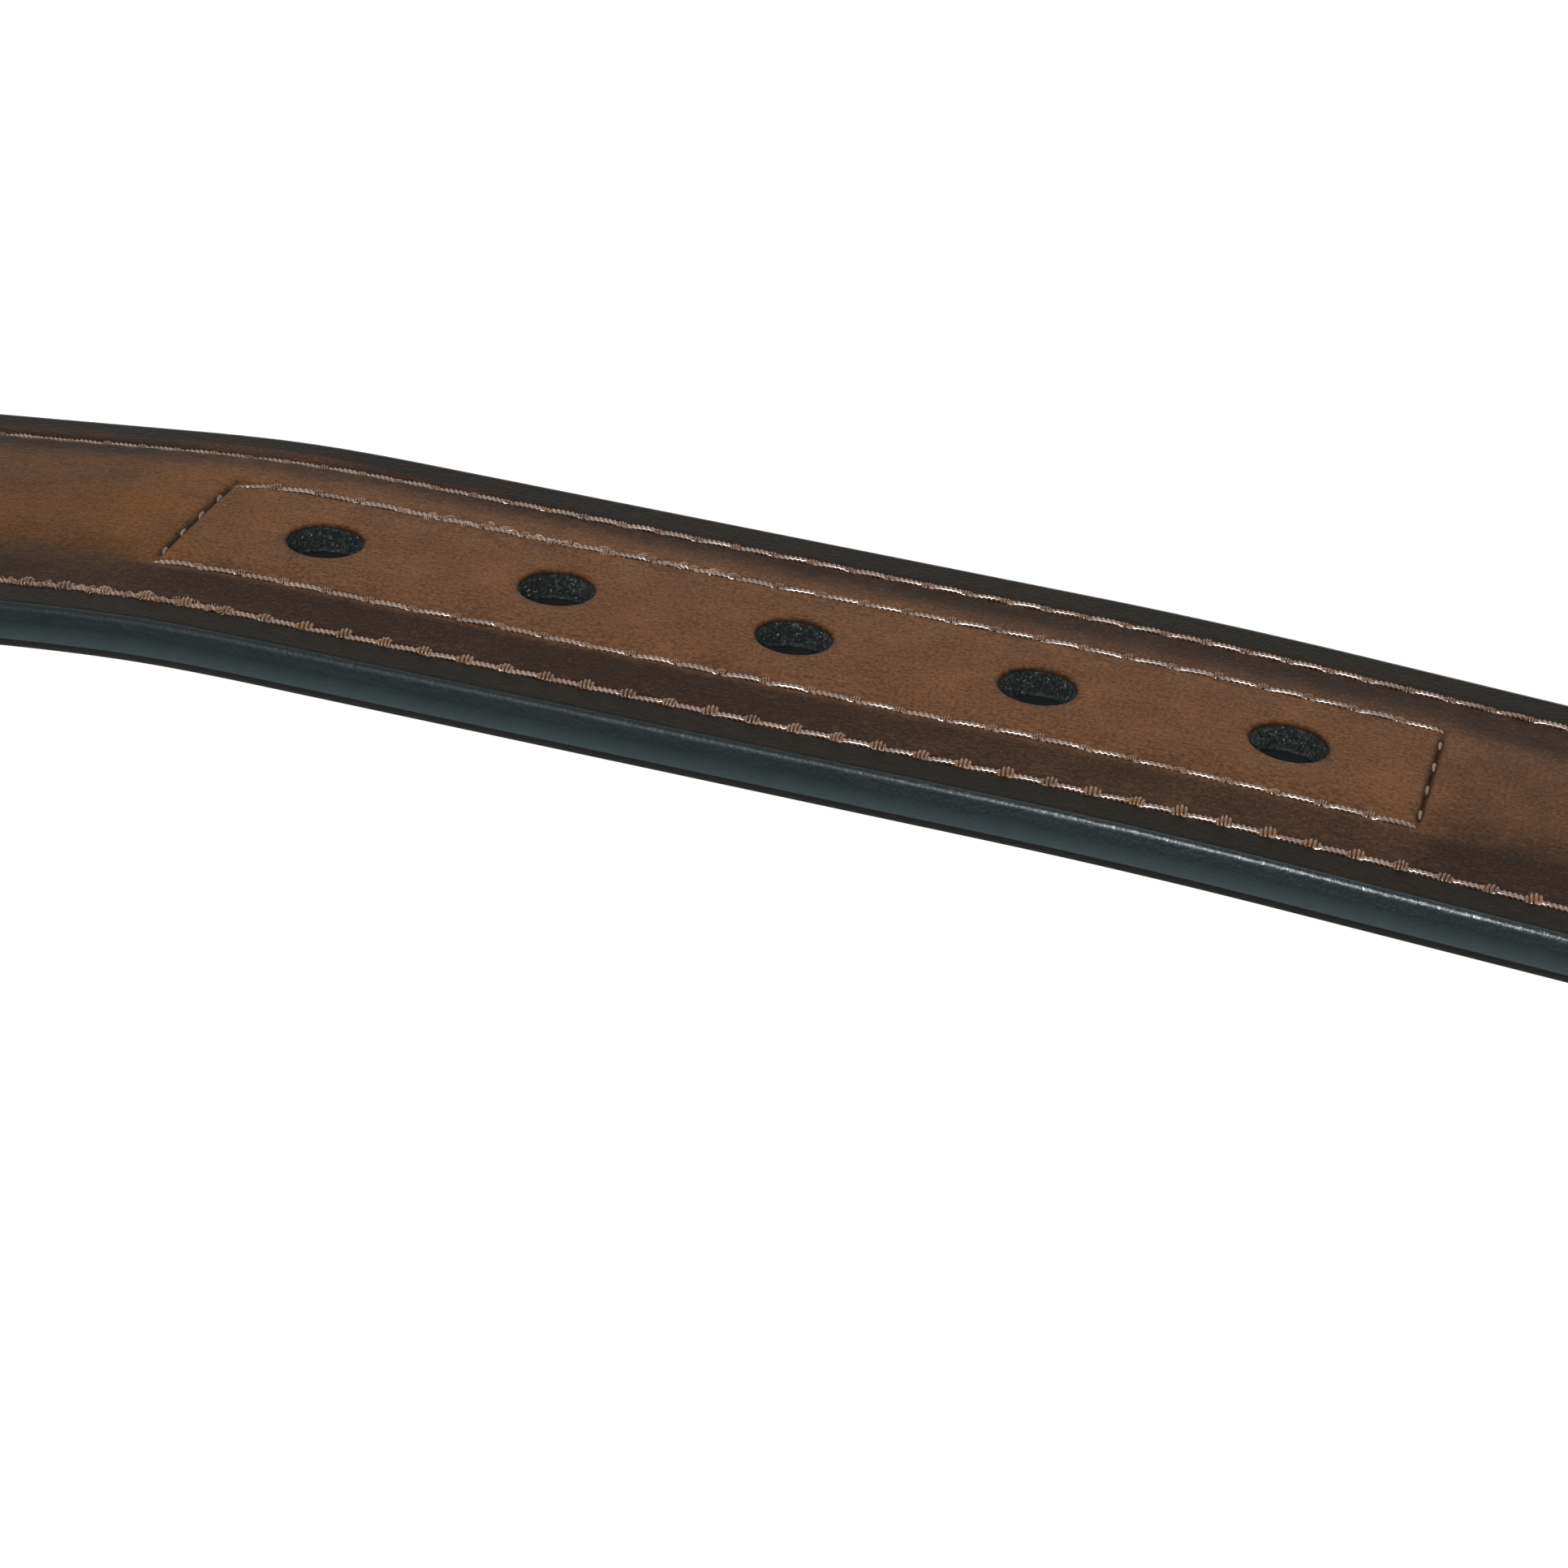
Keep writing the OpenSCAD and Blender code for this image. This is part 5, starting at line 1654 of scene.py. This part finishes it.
class GIRTH_OT_keepers(bpy.types.Operator):
    """Builds the fixed keeper and the sliding keeper, each a creased strip bent into a loop"""

    bl_idname = "girth.keepers"
    bl_label = "Keepers"

    # Length of a keeper along the strap, and its room over the strap, at its sides and behind it
    LENGTH = 12
    TAIL_GAP = 6.4
    SIDE_GAP = 0.45
    SLIDE_PLAY = 0.35
    # From the heel pin to the fixed keeper, and from the turned end to the sliding one
    FIXED_BACK = 25
    SLIDE_GAP = 6

    def execute(self, context):
        strap = read_strap()
        fixed_top = strap.edge_n + self.TAIL_GAP
        slide_top = fixed_top + strap.crown
        slide_back = strap.turn_back + self.SLIDE_GAP
        rows = [
            ("fixed_keeper_piece", "fixed_keeper", STRAP, self.FIXED_BACK, 0, fixed_top),
            ("sliding_keeper_piece", "sliding_keeper", LOOP, slide_back, -self.SLIDE_PLAY, slide_top),
        ]
        for name, node, body, back, low, top in rows:
            piece = self.bend_strip(name, strap, back, low, top)
            hand_in(piece, body, "face_leather", node)
        return {"FINISHED"}

    def loop_line(self, strap, low, top):
        """Inside of the loop as (n, u) with the outward direction, from one side of the butt to the other."""
        side = strap.half + self.SIDE_GAP
        r = 1.0
        gap = strap.BUTT_GAP / 2
        line = [(low, u, -1.0, 0.0) for u in steps(gap, side - r, 2)]
        turn = lambda n, u, start, end: [
            (n + r * math.cos(a), u + r * math.sin(a), math.cos(a), math.sin(a))
            for a in np.radians(np.linspace(start, end, 9))]
        line += turn(low + r, side - r, 180, 90) + turn(top - r, side - r, 90, 0)
        line += [(top, u, 1.0, 0.0) for u in steps(r - side, side - r, 2)[-2:0:-1]]
        line += turn(top - r, r - side, 0, -90) + turn(low + r, r - side, -90, -180)
        line += [(low, u, -1.0, 0.0) for u in steps(r - side, -gap, 2)[1:]]
        return np.array(line)

    def section(self, thickness):
        """Section of the strip as (height, length): rounded corners and two creased lines on the outside."""
        r = 0.55
        crease_in = 1.5
        crease_depth = 0.28
        crease_width = 0.3
        creases = (crease_in, self.LENGTH - crease_in)
        across = np.unique(np.concatenate([
            steps(r, self.LENGTH - r, 1.2)] + [crease + BESIDE_LINE for crease in creases]))
        pressed = lambda z: sum(crease_depth * math.exp(-((z - c) / crease_width) ** 2) for c in creases)
        outside = [(thickness - pressed(z), z) for z in across]
        corner = lambda height, z, start: [
            (height + r * math.sin(a), z + r * math.cos(a))
            for a in np.radians(np.linspace(start, start - 90, 5))]
        far = corner(thickness - r, self.LENGTH - r, 90)[1:]
        far_low = corner(r, self.LENGTH - r, 0)
        near_low = corner(r, r, -90)
        near = corner(thickness - r, r, -180)[:-1]
        return np.array(outside + far + far_low + near_low + near)

    def bend_strip(self, name, strap, back, low, top):
        """The strip swept round its loop, with closed ends."""
        line = self.loop_line(strap, low, top)
        section = self.section(strap.KEEPER)
        n = line[:, None, 0] + line[:, None, 2] * section[None, :, 0]
        u = line[:, None, 1] + line[:, None, 3] * section[None, :, 0]
        s = np.broadcast_to(strap.length - back - section[None, :, 1], n.shape)
        layer = Layer()
        index = layer.add(s, u, n).reshape(n.shape)
        height, length = section.T
        rim = 0.6
        outer = (height > strap.KEEPER - 0.4) & (length > rim) & (length < self.LENGTH - rim)
        for j in range(len(section)):
            k = (j + 1) % len(section)
            quads = np.stack([index[:-1, j], index[1:, j], index[1:, k], index[:-1, k]], -1)
            layer.face_all(quads, 0 if outer[j] and outer[k] else 1)
        layer.face_all([index[0]], 1)
        layer.face_all([index[-1]], 1, True)
        piece = finish_layer(name, strap, layer, [finish("leather"), finish("paint")])
        work = bmesh.new()
        work.from_mesh(piece.data)
        bmesh.ops.recalc_face_normals(work, faces=work.faces)
        work.to_mesh(piece.data)
        work.free()
        return piece


class GIRTH_OT_metal(bpy.types.Operator):
    """Finishes the buckle, the heel pin, the screw posts and the staples"""

    bl_idname = "girth.metal"
    bl_label = "Metal"

    FINISHES = {
        "nickel": ("buckle_frame", "buckle_roller", "buckle_tongue", "screw_posts", "post_screws"),
        "wire": ("heel_pin", "fixed_keeper_staple", "sliding_keeper_staple"),
    }

    def execute(self, context):
        for name, nodes in self.FINISHES.items():
            for node in nodes:
                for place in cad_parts[node].material_slots:
                    place.material = finish(name)
        return {"FINISHED"}


class GIRTH_PT_sidebar(bpy.types.Panel):
    """Sizes, colours and steps of the girth"""

    bl_idname = "GIRTH_PT_sidebar"
    bl_label = "Girth"
    bl_space_type = "VIEW_3D"
    bl_region_type = "UI"
    bl_category = "Girth"

    def draw(self, context):
        layout = self.layout
        scene = context.scene
        for title, group in (("Strap", scene.girth_strap), ("Holes", scene.girth_holes),
                             ("Thread", scene.girth_threads), ("Colours", scene.girth_colours)):
            box = layout.box()
            box.label(text=title)
            for key in group.__annotations__:
                box.prop(group, key)
        for step in STEPS:
            layout.operator(step.bl_idname)


STEPS = (
    GIRTH_OT_stage, GIRTH_OT_face, GIRTH_OT_padding, GIRTH_OT_lining, GIRTH_OT_edge_rows, GIRTH_OT_box_rows,
    GIRTH_OT_keepers, GIRTH_OT_metal)
GROUPS = {
    "girth_strap": GirthStrapSizes,
    "girth_holes": GirthHoleSizes,
    "girth_threads": GirthThreadSizes,
    "girth_colours": GirthColours,
}


def register():
    """Adds the groups of sizes, the steps and the sidebar to Blender."""
    for name, group in GROUPS.items():
        bpy.utils.register_class(group)
        setattr(bpy.types.Scene, name, PointerProperty(type=group))
    for step in STEPS:
        bpy.utils.register_class(step)
    bpy.utils.register_class(GIRTH_PT_sidebar)


def unregister():
    """Takes them out again."""
    bpy.utils.unregister_class(GIRTH_PT_sidebar)
    for step in reversed(STEPS):
        bpy.utils.unregister_class(step)
    for name, group in GROUPS.items():
        delattr(bpy.types.Scene, name)
        bpy.utils.unregister_class(group)


def main():
    """Registers the add-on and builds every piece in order."""
    register()
    for step in STEPS:
        family, name = step.bl_idname.split(".")
        getattr(getattr(bpy.ops, family), name)()
    boxes = {"cad": CAD_BOX, "visual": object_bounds()}
    plain = {name: [list(corner) for corner in box] for name, box in boxes.items()}


if __name__ == "__main__":
    main()
